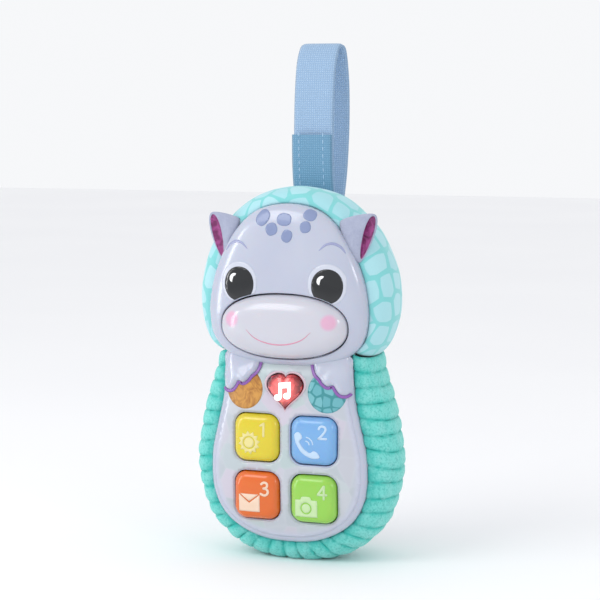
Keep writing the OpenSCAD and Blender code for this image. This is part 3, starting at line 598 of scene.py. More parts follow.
FACE_HALF = [(0, 150.2), (12.5, 147.8), (21.6, 140.8), (28.3, 130.5), (33, 118.5), (34.8, 106), (33.3, 95.5),
             (28, 88.6), (20, 85), (10, 83.3), (0, 83)]
PANEL_HALF = [(0, 94), (14, 93), (24.5, 90.5), (27.5, 85.5), (28.2, 78), (29.3, 68), (31.8, 57), (34.3, 44),
              (33.4, 28.5), (26.8, 17.3), (14.3, 10.5), (0, 8.8)]
RIM_Y, SKIRT = -19.0, 3.5
head = Pillow(full_loop(FACE_HALF), (0, 115), RIM_Y - 0.8, 6.2, 3.6, 2.0)
panel = Pillow(full_loop(PANEL_HALF), (0, 46), RIM_Y, 4.0, 3.0, 2.0,
               sink=lambda p: 1 - 0.5 * smooth_step(p[..., 1], 77, 85))
print("head", np.ptp(head.loop, axis=0).round(1), "panel", np.ptp(panel.loop, axis=0).round(1))


# %% From a flat region to a mesh that lies on a surface
def within(points, loop):
    """For each point, whether it lies inside the closed loop."""
    x, z = np.asarray(points, float).T
    inside = np.zeros(len(x), bool)
    for (ax, az), (bx, bz) in zip(loop, np.roll(loop, -1, axis=0)):
        if az != bz:
            crosses = (az > z) != (bz > z)
            inside ^= crosses & (x < ax + (z - az) * (bx - ax) / (bz - az))
    return inside


def clear_of(points, loop, gap):
    """Whether each point is at least gap away from every corner of the loop, which is closely spaced."""
    points = np.asarray(points, float)
    far = np.full(len(points), np.inf)
    for corner in loop:
        far = np.minimum(far, np.hypot(*(points - corner).T))
    return far > gap


def dense(loop, step):
    """The same closed loop with no edge longer than step, so that a straight edge can follow a curved face."""
    out = []
    for a, b in zip(np.asarray(loop, float), np.roll(loop, -1, axis=0)):
        parts = max(1, math.ceil(float(np.hypot(*(b - a))) / step))
        out += [a + (b - a) * k / parts for k in range(parts)]
    return np.array(out)


def region(outline, holes, fill):
    """Triangles of the region between an outline and its holes, with free points inside."""
    fill = np.asarray(fill, float).reshape(-1, 2)
    keep = within(fill, outline)
    for hole in holes:
        keep &= ~within(fill, hole)
    for loop in [outline, *holes]:
        spacing = np.median(np.hypot(*(loop - np.roll(loop, 1, axis=0)).T))
        keep &= clear_of(fill, loop, 0.6 * spacing)
    corners, edges = [], []
    for loop in [outline, *holes]:
        start = len(corners)
        corners += [tuple(c) for c in loop]
        edges += [(start + i, start + (i + 1) % len(loop)) for i in range(len(loop))]
    corners += [tuple(c) for c in fill[keep]]
    made = delaunay_2d_cdt([Vector(c) for c in corners], edges, [], 0, 1e-5)
    points = np.array([tuple(v) for v in made[0]])
    faces = np.array(made[2])
    middles = points[faces].mean(axis=1)
    wanted = within(middles, outline)
    for hole in holes:
        wanted &= ~within(middles, hole)
    return points, faces[wanted]


def grid_over(loop, spacing):
    low, high = np.min(loop, axis=0), np.max(loop, axis=0)
    rows = np.arange(low[1], high[1], spacing * 0.87)
    return np.array([(x + (spacing / 2 if i % 2 else 0), z) for i, z in enumerate(rows)
                     for x in np.arange(low[0], high[0], spacing)])


def make_piece(name, points, faces, material, body=ROOT, slot=None, smooth=True):
    """A finished piece from points in millimetres, riding on its CAD body."""
    data = bpy.data.meshes.new(name)
    data.from_pydata((np.asarray(points, float) * MM).tolist(), [], [list(map(int, f)) for f in faces])
    data.polygons.foreach_set("use_smooth", [smooth] * len(data.polygons))
    data.validate()
    data.materials.append(material)
    made = bpy.data.objects.new(name, data)
    bpy.context.scene.collection.objects.link(made)
    if body:
        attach(made, body)
    return made


def merge(parts):
    """One list of points and faces from several."""
    points, faces, start = [], [], 0
    for p, f in parts:
        points.append(np.asarray(p, float))
        faces += [[int(i) + start for i in face] for face in f]
        start += len(p)
    return np.concatenate(points), faces


def wall(top, rings):
    """Faces from a closed ring of points through further rings of as many points."""
    loops = [np.asarray(top, float), *[np.asarray(r, float) for r in rings]]
    n = len(loops[0])
    faces = [(i * n + k, (i + 1) * n + k, (i + 1) * n + (k + 1) % n, i * n + (k + 1) % n)
             for i in range(len(loops) - 1) for k in range(n)]
    return np.concatenate(loops), faces


def lift(flat, depth):
    flat = np.asarray(flat, float)
    return np.stack([flat[:, 0], np.broadcast_to(depth, len(flat)), flat[:, 1]], 1)


def shrink(loop, amount):
    """A loop moved inwards by about amount, along its own normals."""
    ahead = np.roll(loop, -1, axis=0) - np.roll(loop, 1, axis=0)
    normal = np.stack([-ahead[:, 1], ahead[:, 0]], 1) / np.maximum(np.hypot(*ahead.T), 1e-9)[:, None]
    area = np.sum(loop[:, 0] * np.roll(loop[:, 1], -1) - np.roll(loop[:, 0], -1) * loop[:, 1])
    return loop + normal * amount * (1 if area > 0 else -1)


@contextlib.contextmanager
def opened(made):
    """A piece's mesh, open for changes, which are written back at the end."""
    mesh = bmesh.new()
    mesh.from_mesh(made.data)
    yield mesh
    mesh.to_mesh(made.data)
    mesh.free()


SAME_PLACE = 0.002 * MM                          # corners nearer than this are one corner


def set_outwards(made):
    """Merges doubles and turns every face outwards."""
    with opened(made) as mesh:
        bmesh.ops.remove_doubles(mesh, verts=mesh.verts, dist=SAME_PLACE)
        bmesh.ops.recalc_face_normals(mesh, faces=mesh.faces)
    return made


def look_away(made, centre, weighed=False, inwards=False):
    """Turns the faces of an open skin so that they look away from its centre, or towards it."""
    with opened(made) as mesh:
        bmesh.ops.recalc_face_normals(mesh, faces=mesh.faces)
        away = sum((f.calc_center_median() - Vector(centre) * MM).dot(f.normal) * (f.calc_area() if weighed else 1)
                   for f in mesh.faces)
        if (away < 0) != inwards:
            bmesh.ops.reverse_faces(mesh, faces=mesh.faces)


def set_attribute(made, name, values):
    made.data.attributes.new(name, "FLOAT", "POINT").data.foreach_set("value", np.asarray(values, float).ravel())


def face_front(made):
    """Turns the open skins of a front piece so that their faces look towards the front."""
    with opened(made) as mesh:
        bmesh.ops.remove_doubles(mesh, verts=mesh.verts, dist=SAME_PLACE)
        bmesh.ops.recalc_face_normals(mesh, faces=mesh.faces)
        mesh.faces.ensure_lookup_table()
        mesh.normal_update()
        islands, seen = [], set()
        for face in mesh.faces:
            if face.index in seen:
                continue
            stack, island = [face], []
            seen.add(face.index)
            while stack:
                one = stack.pop()
                island.append(one)
                for edge in one.edges:
                    for other in edge.link_faces:
                        if other.index not in seen:
                            seen.add(other.index)
                            stack.append(other)
            islands.append(island)
        for island in islands:
            if sum(f.normal.y * f.calc_area() for f in island) > 0:
                bmesh.ops.reverse_faces(mesh, faces=island)
    return made


# %% [markdown]
# ## Front shell
# One moulding: the head, the key panel, and the two arms that reach out from under the chin. Its openings have
# small rounded lips, because a moulded edge is never sharp. A flat triangulation with the openings left out is
# lifted onto the pillow, which keeps both the lips and the gloss clean, where cutting holes in a finished skin
# would leave ragged shading.


# %% Openings, each slightly larger than what moves in it
KEY_SIDE, KEY_CORNER, KEY_GAP = 19.8, 4.8, 0.45
PITCH_X, PITCH_Z, KEYS_Z, HEART_Z = 25.2, 24.4, 40.4, 72.8
key_places = [np.array((sx * PITCH_X / 2, KEYS_Z + sz * PITCH_Z / 2)) for sz in (1, -1) for sx in (-1, 1)]
HEART_W = 15.6
MUZZLE_W, MUZZLE_H, MUZZLE_Z, MUZZLE_POWER, MUZZLE_GAP = 55.2, 26.6, 99.8, 2.25, 0.55
LIP_DEPTH, LIP_R = 4.0, 0.35


def key_opening(i, grow=0.0):
    side = KEY_SIDE + 2 * (KEY_GAP + grow)
    return rounded_loop(side, side, KEY_CORNER + KEY_GAP + grow, 10) + key_places[i]


def heart_opening(grow=0.0):
    return heart_loop(HEART_W + 2 * (KEY_GAP + grow)) + (0, HEART_Z)


def muzzle_opening(grow=0.0):
    gap = 2 * (MUZZLE_GAP + grow)
    return oval_loop(MUZZLE_W + gap, MUZZLE_H + gap, MUZZLE_POWER) + (0, MUZZLE_Z)


def lip(surface, opening):
    """Rounded lip of an opening and the wall behind it."""
    wide = shrink(opening, -LIP_R)
    y = surface.depth(wide)
    return wall(lift(wide, y), [lift(shrink(opening, -LIP_R * 0.3), y + LIP_R * 0.35), lift(opening, y + LIP_R),
                                lift(opening, y + LIP_DEPTH)])


def skin(surface, openings, rings=30, spokes=200, spacing=1.3):
    """Skin of a pillow with lipped openings, and the straight skirt behind its rim."""
    shares = [math.cos(math.pi / 2 * k / rings) ** 0.5 for k in range(1, rings // 2)]
    grid = grid_over(surface.loop, spacing)
    middle = grid[surface.share(grid) < shares[-1] * 0.985]
    fill = np.concatenate([surface.ring(s, max(int(spokes * s), 8)) for s in shares] + [middle])
    outline = surface.ring(1.0, spokes)
    flat, faces = region(outline, [shrink(o, -LIP_R) for o in openings], fill)
    parts = [(lift(flat, surface.depth(flat)), faces)]
    parts += [lip(surface, o) for o in openings]
    parts.append(wall(lift(outline, surface.depth(outline)), [lift(outline, surface.rim_y + SKIRT)]))
    return merge(parts)


# %% The arm and its three fingers: a raised area of the panel with a scalloped, rounded edge
HAND_RIGHT = [(11.4, 87.5), (11.8, 84.0), (13.0, 80.6), (15.3, 78.4), (16.4, 76.9), (18.6, 75.4), (21.0, 75.9),
              (22.2, 74.3), (23.8, 72.4), (26.3, 72.0), (28.3, 73.6), (28.7, 77.5), (28.3, 82), (27.8, 87.5),
              (20, 89)]
FINGERS = 12                                     # so many of these points run along the finger tips


def distance_to_line(points, line):
    """Shortest distance from each point to a line of closely spaced corners."""
    far = np.full(len(points), np.inf)
    for a, b in zip(line[:-1], line[1:]):
        along = b - a
        t = np.clip(((points - a) @ along) / max(along @ along, 1e-9), 0, 1)
        far = np.minimum(far, np.hypot(*(points - a - t[:, None] * along).T))
    return far


def hand(side):
    outline = curve_through(HAND_RIGHT, 8, closed=True)
    edge = curve_through(HAND_RIGHT[:FINGERS], 8)
    flat, faces = region(outline, [], grid_over(outline, 0.55))
    near = distance_to_line(flat, edge)
    swell = 1.9 * np.sqrt(1 - (1 - np.clip(near / 2.6, 0, 1)) ** 2)
    knuckles = sum(0.5 * np.exp(-((flat[:, 0] - x) ** 2 + (flat[:, 1] - z) ** 2) / 5.0)
                   for x, z in ((14.6, 81.0), (18.6, 77.6), (24.6, 74.6)))
    calm = (1 - np.clip(panel.share(flat), 0, 1) ** 8) ** 0.5
    y = panel.depth(flat) - 0.02 - (swell + knuckles * np.clip(near / 1.5, 0, 1)) * calm
    return lift(flat * (side, 1), y), faces


shell_openings = [key_opening(i) for i in range(4)] + [heart_opening()]
front_shell = make_piece("front_shell_moulding", *merge(
    [skin(head, [muzzle_opening()]), skin(panel, shell_openings), hand(1), hand(-1)]), lilac_abs,
    slot="shell_plastic")
face_front(front_shell)
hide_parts("front_shell")
print("front shell faces:", len(front_shell.data.polygons))


# %% [markdown]
# ## Prints and film
# A print is modelled as a thin raised layer, 0.03 to 0.2 mm high, so that its edge stays crisp at any distance.
# Each is a flat outline, filled with points and lifted onto the surface that it lies on. The two balls and the
# eyes are also domed a little.


# %% One helper for every print
def print_on(name, shapes, depth_at, material, body=ROOT, slot="label_film", height=0.06, spacing=0.9, dome=0.0):
    """shapes is a list of (outline, holes). dome lifts the middle of a shape by that many millimetres."""
    parts = []
    for outline, holes in shapes:
        outline = dense(outline, spacing)
        holes = [dense(h, spacing) for h in holes]
        flat, faces = region(outline, holes, grid_over(outline, spacing))
        y = depth_at(flat) - height
        if dome:
            middle, half = (outline.min(axis=0) + outline.max(axis=0)) / 2, np.ptp(outline, axis=0) / 2
            y -= dome * np.sqrt(np.clip(1 - (((flat - middle) / half) ** 2).sum(axis=1), 0, 1))
        parts.append((lift(flat, y), faces))
        for loop in [outline, *holes]:
            parts.append(wall(lift(loop, depth_at(loop) - height), [lift(loop, depth_at(loop) + 0.05)]))
    made = make_piece(name, *merge(parts), material, body, slot)
    return face_front(made)


def stroke(points, width, steps=8, taper=False):
    """Outline of a line of the given width with rounded ends. taper thins it towards both ends."""
    line = curve_through(points, steps)
    ahead = np.gradient(line, axis=0)
    normal = np.stack([-ahead[:, 1], ahead[:, 0]], 1) / np.hypot(*ahead.T)[:, None]
    t = np.linspace(0, 1, len(line))[:, None]
    half = width / 2 * (np.sin(math.pi * np.clip(t, 0.04, 0.96)) ** 0.6 if taper else 1.0)
    left, right = line + normal * half, (line - normal * half)[::-1]
    if taper:
        return np.concatenate([left, right])

    def cap(centre, start):
        a = np.linspace(0, -math.pi, 7)[1:-1]
        radius = start - centre
        return np.stack([centre[0] + radius[0] * np.cos(a) - radius[1] * np.sin(a),
                         centre[1] + radius[0] * np.sin(a) + radius[1] * np.cos(a)], 1)

    return np.concatenate([left, cap(line[-1], left[-1]), right, cap(line[0], right[-1])])


def mirrored(loop):
    return (np.asarray(loop, float) * (-1, 1))[::-1]


# %% Film on the key panel, cut round the chin, the hands, the keys and the heart
def film_region():
    """The film's outline is the panel's own, drawn in by 6 per cent, and it ends under the chin."""
    loop = panel.centre + (panel.loop - panel.centre) * 0.94
    return loop[loop[:, 1] < 86.5]


film_outline = film_region()
panel_film = print_on("panel_film", [(film_outline, [key_opening(i, 0.5) for i in range(4)] + [heart_opening(0.5)])],
                      panel.depth, pearl_film, height=0.12, spacing=1.2)
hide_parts("panel_label")
film_corners = np.array([v.co for v in panel_film.data.vertices])[:, [0, 2]] / MM
set_attribute(panel_film, "share", panel.share(film_corners))

# %% Balls, the violet line round the fingers, and a painted glow of the heart's light round the heart
BALL_PLACE, BALL_D = (18.3, 72.9), 16.6
ball_loop = oval_loop(BALL_D, BALL_D + 0.4, 2.0, 60)
print_on("ochre_ball", [(ball_loop + (-BALL_PLACE[0], BALL_PLACE[1]), [])], panel.depth, ochre_ball, height=0.14,
         dome=0.35)
print_on("teal_ball", [(ball_loop + BALL_PLACE, [])], panel.depth, teal_ball, height=0.14, dome=0.35)
finger_edge = shrink(curve_through(HAND_RIGHT, 8, closed=True), -0.5)[5:8 * (FINGERS - 2)]
line_loop = stroke(finger_edge[::3], 1.25, 4)
print_on("finger_lines", [(line_loop, []), (mirrored(line_loop), [])],
         lambda p: panel.depth(p) - 0.5, violet_ink, height=0.2, spacing=0.6)
# Painted glow: a pink ring round the heart's opening for the heart's light.
print_on("heart_glow", [(heart_opening(1.0), [heart_opening(0.05)])], panel.depth, painted_heart_glow, height=0.16)

# %% Eyes with rings of painted highlight round them, their glints, brows and forehead spots
EYE_X, EYE_Z, EYE_D, EYE_TO_MUZZLE = 19.4, 117.0, 13.4, 0.4


def eye_shape(side, grow=0.0, drop=0.0):
    return oval_loop(EYE_D + grow, EYE_D + 0.8 + grow, 2.1, 72) + (side * EYE_X, EYE_Z - drop)


def above_muzzle(loop):
    """A loop whose lower points are moved up to the upper edge of the muzzle's opening."""
    edge = muzzle_opening(EYE_TO_MUZZLE)
    upper = edge[edge[:, 1] > MUZZLE_Z]
    upper = upper[np.argsort(upper[:, 0])]
    return np.stack([loop[:, 0], np.maximum(loop[:, 1], np.interp(loop[:, 0], *upper.T))], 1)


# Painted highlight: pale rings round the eyes, reaching further up, where light falls on the shell.
print_on("eye_highlight_rings", [(above_muzzle(eye_shape(s, 3.0, -0.6)), []) for s in (-1, 1)], head.depth, painted_eye_highlight,
         height=0.05)
print_on("eyes", [(above_muzzle(eye_shape(s)), []) for s in (-1, 1)], head.depth, eye_ink, height=0.1, dome=0.25)
glint = curve_through([(-1.9, 0.0), (-1.6, 1.7), (-0.2, 2.7), (1.0, 2.6), (0.6, 1.8), (-0.2, 1.3), (-0.6, 0.1),
                       (-0.9, -1.0)], 6, closed=True)
print_on("eye_glints", [(glint + (s * EYE_X - 2.3, EYE_Z + 1.6), []) for s in (-1, 1)],
         lambda p: head.depth(p) - 0.36, white_ink, height=0.03, spacing=0.5)
brow = stroke([(15.8, 131.6), (18.4, 133.9), (21.4, 134.5), (24.4, 133.1), (26.4, 130.6)], 1.1, taper=True)
print_on("brows", [(brow, []), (mirrored(brow), [])], head.depth, brow_ink, height=0.05, spacing=0.5)


def spot(x, z, width, height, turn):
    loop = oval_loop(width, height, 2.4, 40)
    c, s = math.cos(math.radians(turn)), math.sin(math.radians(turn))
    return loop @ np.array([[c, s], [-s, c]]) + (x, z), []


SPOTS = [(-9.4, 144.5, 5.6, 7.0, -35), (0.2, 143.9, 6.4, 5.2, -5), (-5.1, 139.9, 5.2, 5.2, 20),
         (1.8, 137.2, 4.6, 5.2, -20), (11.0, 145.8, 5.6, 4.4, -20), (9.6, 141.0, 4.6, 4.8, 10)]
print_on("forehead_spots", [spot(*s) for s in SPOTS], head.depth, periwinkle_ink, height=0.05, spacing=0.7)


# %% [markdown]
# ## Muzzle
# A separate pearl-white button with a dark gap all round. It is lofted from rings: a domed front, a rounded
# shoulder and a short wall that slides in the shell. The smile is a thin print.


# %% Rings of the muzzle
def muzzle_ring(share, y, count=160):
    loop = oval_loop(MUZZLE_W * share, MUZZLE_H * share, MUZZLE_POWER, count) + (0, MUZZLE_Z)
    return lift(loop, y)


MUZZLE_EDGE_Y, MUZZLE_FRONT_Y, MUZZLE_POST_Y = -23.0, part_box("muzzle_button")[0][1] / MM, -14.4


def muzzle_depth(points):
    """The front bulges, a little more below its middle, like a snout."""
    points = np.asarray(points, float)
    x, z = points[..., 0] / (MUZZLE_W / 2), (points[..., 1] - MUZZLE_Z) / (MUZZLE_H / 2)
    s = (np.abs(x) ** MUZZLE_POWER + np.abs(z) ** MUZZLE_POWER) ** (1 / MUZZLE_POWER)
    rise = (1 - np.clip(s, 0, 1) ** 2.8) ** (1 / 2.1)
    follow = head.depth(points) * 0.35 + MUZZLE_EDGE_Y * 0.65
    edge = np.clip(follow, MUZZLE_EDGE_Y - 1.0, MUZZLE_EDGE_Y + 2.0)
    return edge - rise * (edge - MUZZLE_FRONT_Y - 0.3)


def loft(rings, start_cap=True, end_cap=True):
    points, faces = wall(rings[0], rings[1:])
    n = len(rings[0])
    for wanted, first in ((start_cap, 0), (end_cap, (len(rings) - 1) * n)):
        if wanted:
            faces.append([first + k for k in range(n)])
    return points, faces


shares = [0.06, 0.16, 0.28, 0.4, 0.52, 0.63, 0.73, 0.81, 0.87, 0.915, 0.945, 0.967, 0.983, 0.994, 1.0]
rings = []
for s in shares:
    ring = muzzle_ring(s, 0.0)
    ring[:, 1] = muzzle_depth(ring[:, [0, 2]])
    rings.append(ring)
rings += [muzzle_ring(1.0, RIM_Y + 0.2), muzzle_ring(0.93, RIM_Y + 0.2), muzzle_ring(0.93, RIM_Y - 2),
          muzzle_ring(0.2, RIM_Y - 3), muzzle_ring(0.1, MUZZLE_POST_Y)]
muzzle = set_outwards(make_piece("muzzle_cap", *loft(rings), pearl_abs, "muzzle_button", "muzzle_plastic"))
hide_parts("muzzle_button")
smile = stroke([(-14.2, 98.6), (-10.5, 95.4), (-5.4, 93.5), (0, 92.9), (5.4, 93.5), (10.5, 95.4), (14.2, 98.6)], 0.55,
               taper=True)
print_on("smile", [(smile, [])], muzzle_depth, pink_ink, "muzzle_button", height=0.05, spacing=0.5)
print("muzzle faces:", len(muzzle.data.polygons))

# %% [markdown]
# ## Keys
# Four caps of translucent plastic: a rounded square, gently crowned, with a generous edge. Each has a flange
# that keeps it in its opening and a post that presses its rubber dome. The digit and the picture are printed.


# %% Key caps
KEY_TOP_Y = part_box("key_1")[0][1] / MM
CROWN, EDGE_R = 75.0, 3.0
POST_R, POST_Y = 2.5, -14.7                      # the posts end at POST_Y, on the mat's domes
KEY_SLOTS = ["key_yellow", "key_blue", "key_orange", "key_green"]
key_loop = rounded_loop(KEY_SIDE, KEY_SIDE, KEY_CORNER, 10)


def key_depth(i):
    def at(points):
        out = np.asarray(points, float) - key_places[i]
        return KEY_TOP_Y + 0.12 + (out ** 2).sum(axis=-1) / (2 * CROWN)
    return at


def key_cap_rings(i):
    rings = []
    for s in (0.05, 0.25, 0.45, 0.62, 0.73, 0.79, 0.84, 0.885, 0.92, 0.95, 0.972, 0.988, 0.997, 1.0):
        flat = key_loop * s + key_places[i]
        drop = max(EDGE_R - (1 - s) * KEY_SIDE / 2, 0.0)
        rings.append(lift(flat, key_depth(i)(flat) + 0.85 * (EDGE_R - math.sqrt(EDGE_R ** 2 - drop ** 2))))
    flange = rounded_loop(KEY_SIDE + 2.2, KEY_SIDE + 2.2, KEY_CORNER + 1, 10) + key_places[i]
    turn = np.arctan2(key_loop[:, 1], key_loop[:, 0])
    post = np.stack([POST_R * np.cos(turn), POST_R * np.sin(turn)], 1) + key_places[i]
    rings += [lift(key_loop + key_places[i], RIM_Y + 1.5), lift(flange, RIM_Y + 1.5), lift(flange, RIM_Y + 2.05),
              lift(post, RIM_Y + 2.05), lift(post, POST_Y)]
    return rings


for i in range(4):
    cap = make_piece(f"key_{i + 1}_cap", *loft(key_cap_rings(i)), key_plastics[i], f"key_{i + 1}", KEY_SLOTS[i])
    set_outwards(cap)
    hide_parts(f"key_{i + 1}")
print("key caps:", 4)


# %% Digits as rounded strokes, and four plain pictures
DIGITS = [[[(-1.0, 1.7), (0.3, 2.6)], [(0.35, 2.6), (0.35, -2.6)]],
          [[(-1.5, 1.6), (-0.9, 2.5), (0.2, 2.7), (1.3, 2.1), (1.3, 0.9), (0.2, -0.7), (-1.5, -2.4)],
           [(-1.5, -2.4), (1.7, -2.4)]],
          [[(-1.4, 2.0), (-0.3, 2.7), (1.0, 2.3), (1.1, 1.1), (0.3, 0.35), (-0.4, 0.25)],
           [(-0.4, 0.2), (0.6, 0.1), (1.5, -0.8), (1.2, -2.1), (0.0, -2.7), (-1.6, -2.1)]],
          [[(0.6, 2.6), (-1.8, -0.9)], [(-1.8, -0.9), (1.8, -0.9)], [(0.75, 2.6), (0.75, -2.6)]]]


def disc(x, z, r, count=32):
    return oval_loop(2 * r, 2 * r, 2.0, count) + (x, z)


def sun_icon():
    a = np.linspace(0, 2 * math.pi, 24, endpoint=False) + math.pi / 24
    r = np.where(np.arange(24) % 2 == 0, 5.0, 3.7)
    star = np.stack([r * np.cos(a), r * np.sin(a)], 1)
    return [(star, [disc(0, 0, 2.75)]), (disc(0, 0, 2.2), [])]


def handset_icon():
    body = curve_through([(-5.4, 4.6), (-4.0, 5.4), (-2.5, 4.4), (-2.2, 2.9), (-3.1, 2.0), (-3.2, 0.9), (-1.6, -1.3),
                          (0.6, -2.9), (1.7, -2.9), (2.8, -2.2), (4.4, -2.8), (5.5, -4.5), (4.4, -5.4),
                          (1.2, -5.2), (-2.4, -3.2), (-4.8, 0.2), (-5.7, 3.2)], 5, closed=True)
    arcs = [stroke([(r * math.cos(t) - 0.6, r * math.sin(t) + 0.2) for t in np.linspace(0.1, 1.45, 6)], 0.5)
            for r in (1.6, 3.2)]
    return [(body, [])] + [(arc, []) for arc in arcs]


def envelope_icon():
    w, h = 4.7, 3.7
    flap = np.array([(-w + 0.6, h), (w - 0.6, h), (0.0, 0.7)])
    left = np.array([(-w, h - 0.1), (-w, -h), (w, -h), (w, h - 0.1), (0.0, -0.1)])
    return [(flap[::-1], []), (left, [])]


def camera_icon():
    body = curve_through([(-4.9, 2.2), (-4.4, 2.9), (-2.6, 3.0), (-1.8, 4.2), (1.6, 4.2), (2.4, 3.0), (4.4, 2.9),
                          (4.9, 2.2), (4.9, -3.6), (4.3, -4.2), (-4.3, -4.2), (-4.9, -3.6)], 4, closed=True)
    return [(body, [disc(0, -0.6, 2.5)]), (disc(0, -0.6, 1.9), [])]


ICONS = [(sun_icon, (-2.6, -2.0)), (handset_icon, (-2.0, -1.6)), (envelope_icon, (-2.6, -3.0)),
         (camera_icon, (-2.4, -3.0))]
DIGIT_AT = [(3.5, 3.7), (4.6, 3.9), (4.2, 3.2), (4.6, 3.4)]
for i, (icon, shift) in enumerate(ICONS):
    shapes = [(np.asarray(o) + key_places[i] + shift, [np.asarray(h) + key_places[i] + shift for h in holes])
              for o, holes in icon()]
    print_on(f"key_{i + 1}_picture", shapes, key_depth(i), key_inks[i], f"key_{i + 1}", KEY_SLOTS[i], height=0.05,
             spacing=0.8)
    number = [(stroke(line, 0.95) + key_places[i] + DIGIT_AT[i], []) for line in DIGITS[i]]
    print_on(f"key_{i + 1}_digit", number, key_depth(i), key_inks[i], f"key_{i + 1}", KEY_SLOTS[i], height=0.06,
             spacing=0.6)
print("key prints:", 8)


# %% [markdown]
# ## Heart
# A faceted gem of clear red plastic: a girdle, a steep crown of facets and a flat table. Flat shading shows
# each facet, and the note on its table is a clear window that lets the white light through.


# %% The gem
HEART_TOP_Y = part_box("heart_button")[0][1] / MM
gem_loop = heart_loop(HEART_W, 22)


def gem_ring(share, y, shift=0.0):
    return lift(gem_loop * share + (0, HEART_Z + shift), y)


def lamp_tube(radius, y):
    """Round ring of the tube that guides the LED's light, with a point for each point of the gem's outline."""
    turn = np.arctan2(gem_loop[:, 1], gem_loop[:, 0])
    return lift(radius * np.stack([np.cos(turn), np.sin(turn)], 1) + (0, HEART_Z), y)


TUBE_R, TUBE_BORE_R = 4.5, 3.2
gem_rings = [gem_ring(0.6, HEART_TOP_Y + 0.05, -0.1), gem_ring(0.84, HEART_TOP_Y + 0.75),
             gem_ring(1.0, HEART_TOP_Y + 2.4), gem_ring(1.0, RIM_Y + 1.4), gem_ring(1.12, RIM_Y + 1.4),
             gem_ring(1.12, RIM_Y + 2.4), lamp_tube(TUBE_R, RIM_Y + 2.4), lamp_tube(TUBE_R, POST_Y),
             lamp_tube(TUBE_BORE_R, POST_Y), lamp_tube(TUBE_BORE_R, RIM_Y + 0.9)]
gem = make_piece("heart_gem", *loft(gem_rings), gem_red, "heart_button", "red_clear", smooth=False)
set_outwards(gem)
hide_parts("heart_button")


def note_shapes():
    """Two notes joined by a beam, as one outline each for the beam with its stems and the two heads."""
    frame_loop = np.array([(-1.5, 3.6), (4.1, 4.3), (4.1, -1.8), (2.6, -1.8), (2.6, 1.6), (0.0, 1.3), (0.0, -2.6),
                           (-1.5, -2.6)])
    return [(frame_loop, []), (oval_loop(3.4, 2.8, 2, 24) + (-1.9, -2.8), []),
            (oval_loop(3.4, 2.8, 2, 24) + (2.3, -2.0), [])]


for count, (loop, holes) in enumerate(note_shapes()):
    print_on(f"note_{count + 1}", [(np.asarray(loop) * 0.95 + (-0.4, HEART_Z + 0.2), holes)],
             lambda p: np.full(len(p), HEART_TOP_Y + 0.05), note_light, "heart_button", "red_clear",
             height=0.04 + 0.015 * count, spacing=1.2)
print("heart facets:", len(gem.data.polygons))

# %% [markdown]
# ## Plush
# The body and the hood are stuffed rings round the module. Each is swept between three outlines: where it
# meets the module's rim, where it is widest, and the seam at the back. The body's ribs are sewn channels.
# They follow a rule, one channel after another along the ring, so Geometry Nodes raise them from a plain
# swept skin.


# %% Outlines of the two stuffed rings, from the waist to the far end, right-hand halves
BODY_OUT = [(34, 87), (36.8, 77.5), (40.2, 68.5), (43.2, 56), (45, 41), (42.7, 27.5), (36.4, 13.7), (21.6, 2.7),
            (0, -1.2)]
BODY_RIM = [(27.9, 88.6), (28.9, 78), (29.7, 68), (32.2, 57), (34.7, 43), (33.7, 28), (27.2, 17), (14.6, 10.1),
            (0, 8.4)]
BODY_BACK = [(26.5, 87), (27.5, 77), (29.5, 66), (31, 54), (31, 40), (28, 27), (21.5, 18), (12, 13), (0, 11.5)]
HOOD_OUT = [(34, 87), (39.8, 94.5), (43.1, 107), (41.6, 123), (34.6, 138), (23.4, 149.5), (12, 155.3), (0, 157)]
HOOD_RIM = [(27.9, 88.6), (33.6, 94.5), (35.2, 106), (33.3, 118.5), (28.6, 131), (21.6, 141.5), (11.8, 148.6),
            (0, 150.6)]
HOOD_BACK = [(26.5, 87), (28.7, 95.5), (30.5, 107), (30, 119), (26, 130), (19, 138), (10, 142.6), (0, 144)]
MID_Y, BACK_Y = -5.5, 21.5


def even_stations(rim, out, back, count):
    """Matching points on the three outlines, evenly spaced along the ring from waist to waist."""
    lines = [both_sides(half, 24) for half in (rim, out, back)]
    middle = (lines[0] + lines[1]) / 2
    run = np.concatenate([[0], np.cumsum(np.hypot(*np.diff(middle, axis=0).T))])
    wanted = np.linspace(0, run[-1], count)
    return [np.stack([np.interp(wanted, run, line[:, k]) for k in (0, 1)], 1) for line in lines], run[-1]


def swept_skin(rim, out, back, along, across):
    """Grid [station][point] of a stuffed ring, its length in millimetres, and each point's share across."""
    (r, o, b), length = even_stations(rim, out, back, along)
    rows, shares = [], []
    tuck_mm = 0.7                                # how far the cloth goes in behind the module's rim
    tuck = r + (r - o) / np.hypot(*(r - o).T)[:, None] * tuck_mm
    for k in range(3):
        rows.append((tuck, RIM_Y + 4.5 - k * 1.1))
        shares.append(0.0)
    for k in range(across + 1):
        a = math.pi / 2 * k / across
        rows.append((r + (o - r) * math.sin(a) ** 0.9, MID_Y + (RIM_Y + 1.2 - MID_Y) * math.cos(a)))
        shares.append(0.5 * k / across)
    for k in range(1, across + 1):
        a = math.pi / 2 * k / across
        rows.append((b + (o - b) * max(math.cos(a), 0.0) ** 1.7, MID_Y + (BACK_Y - MID_Y) * math.sin(a)))
        shares.append(0.5 + 0.5 * k / across)
    grid = np.stack([lift(flat, y) for flat, y in rows], 1)
    return grid, length, np.array(shares)


def grid_faces(rows, columns):
    return [(i * columns + j, i * columns + j + 1, (i + 1) * columns + j + 1, (i + 1) * columns + j)
            for i in range(rows - 1) for j in range(columns - 1)]


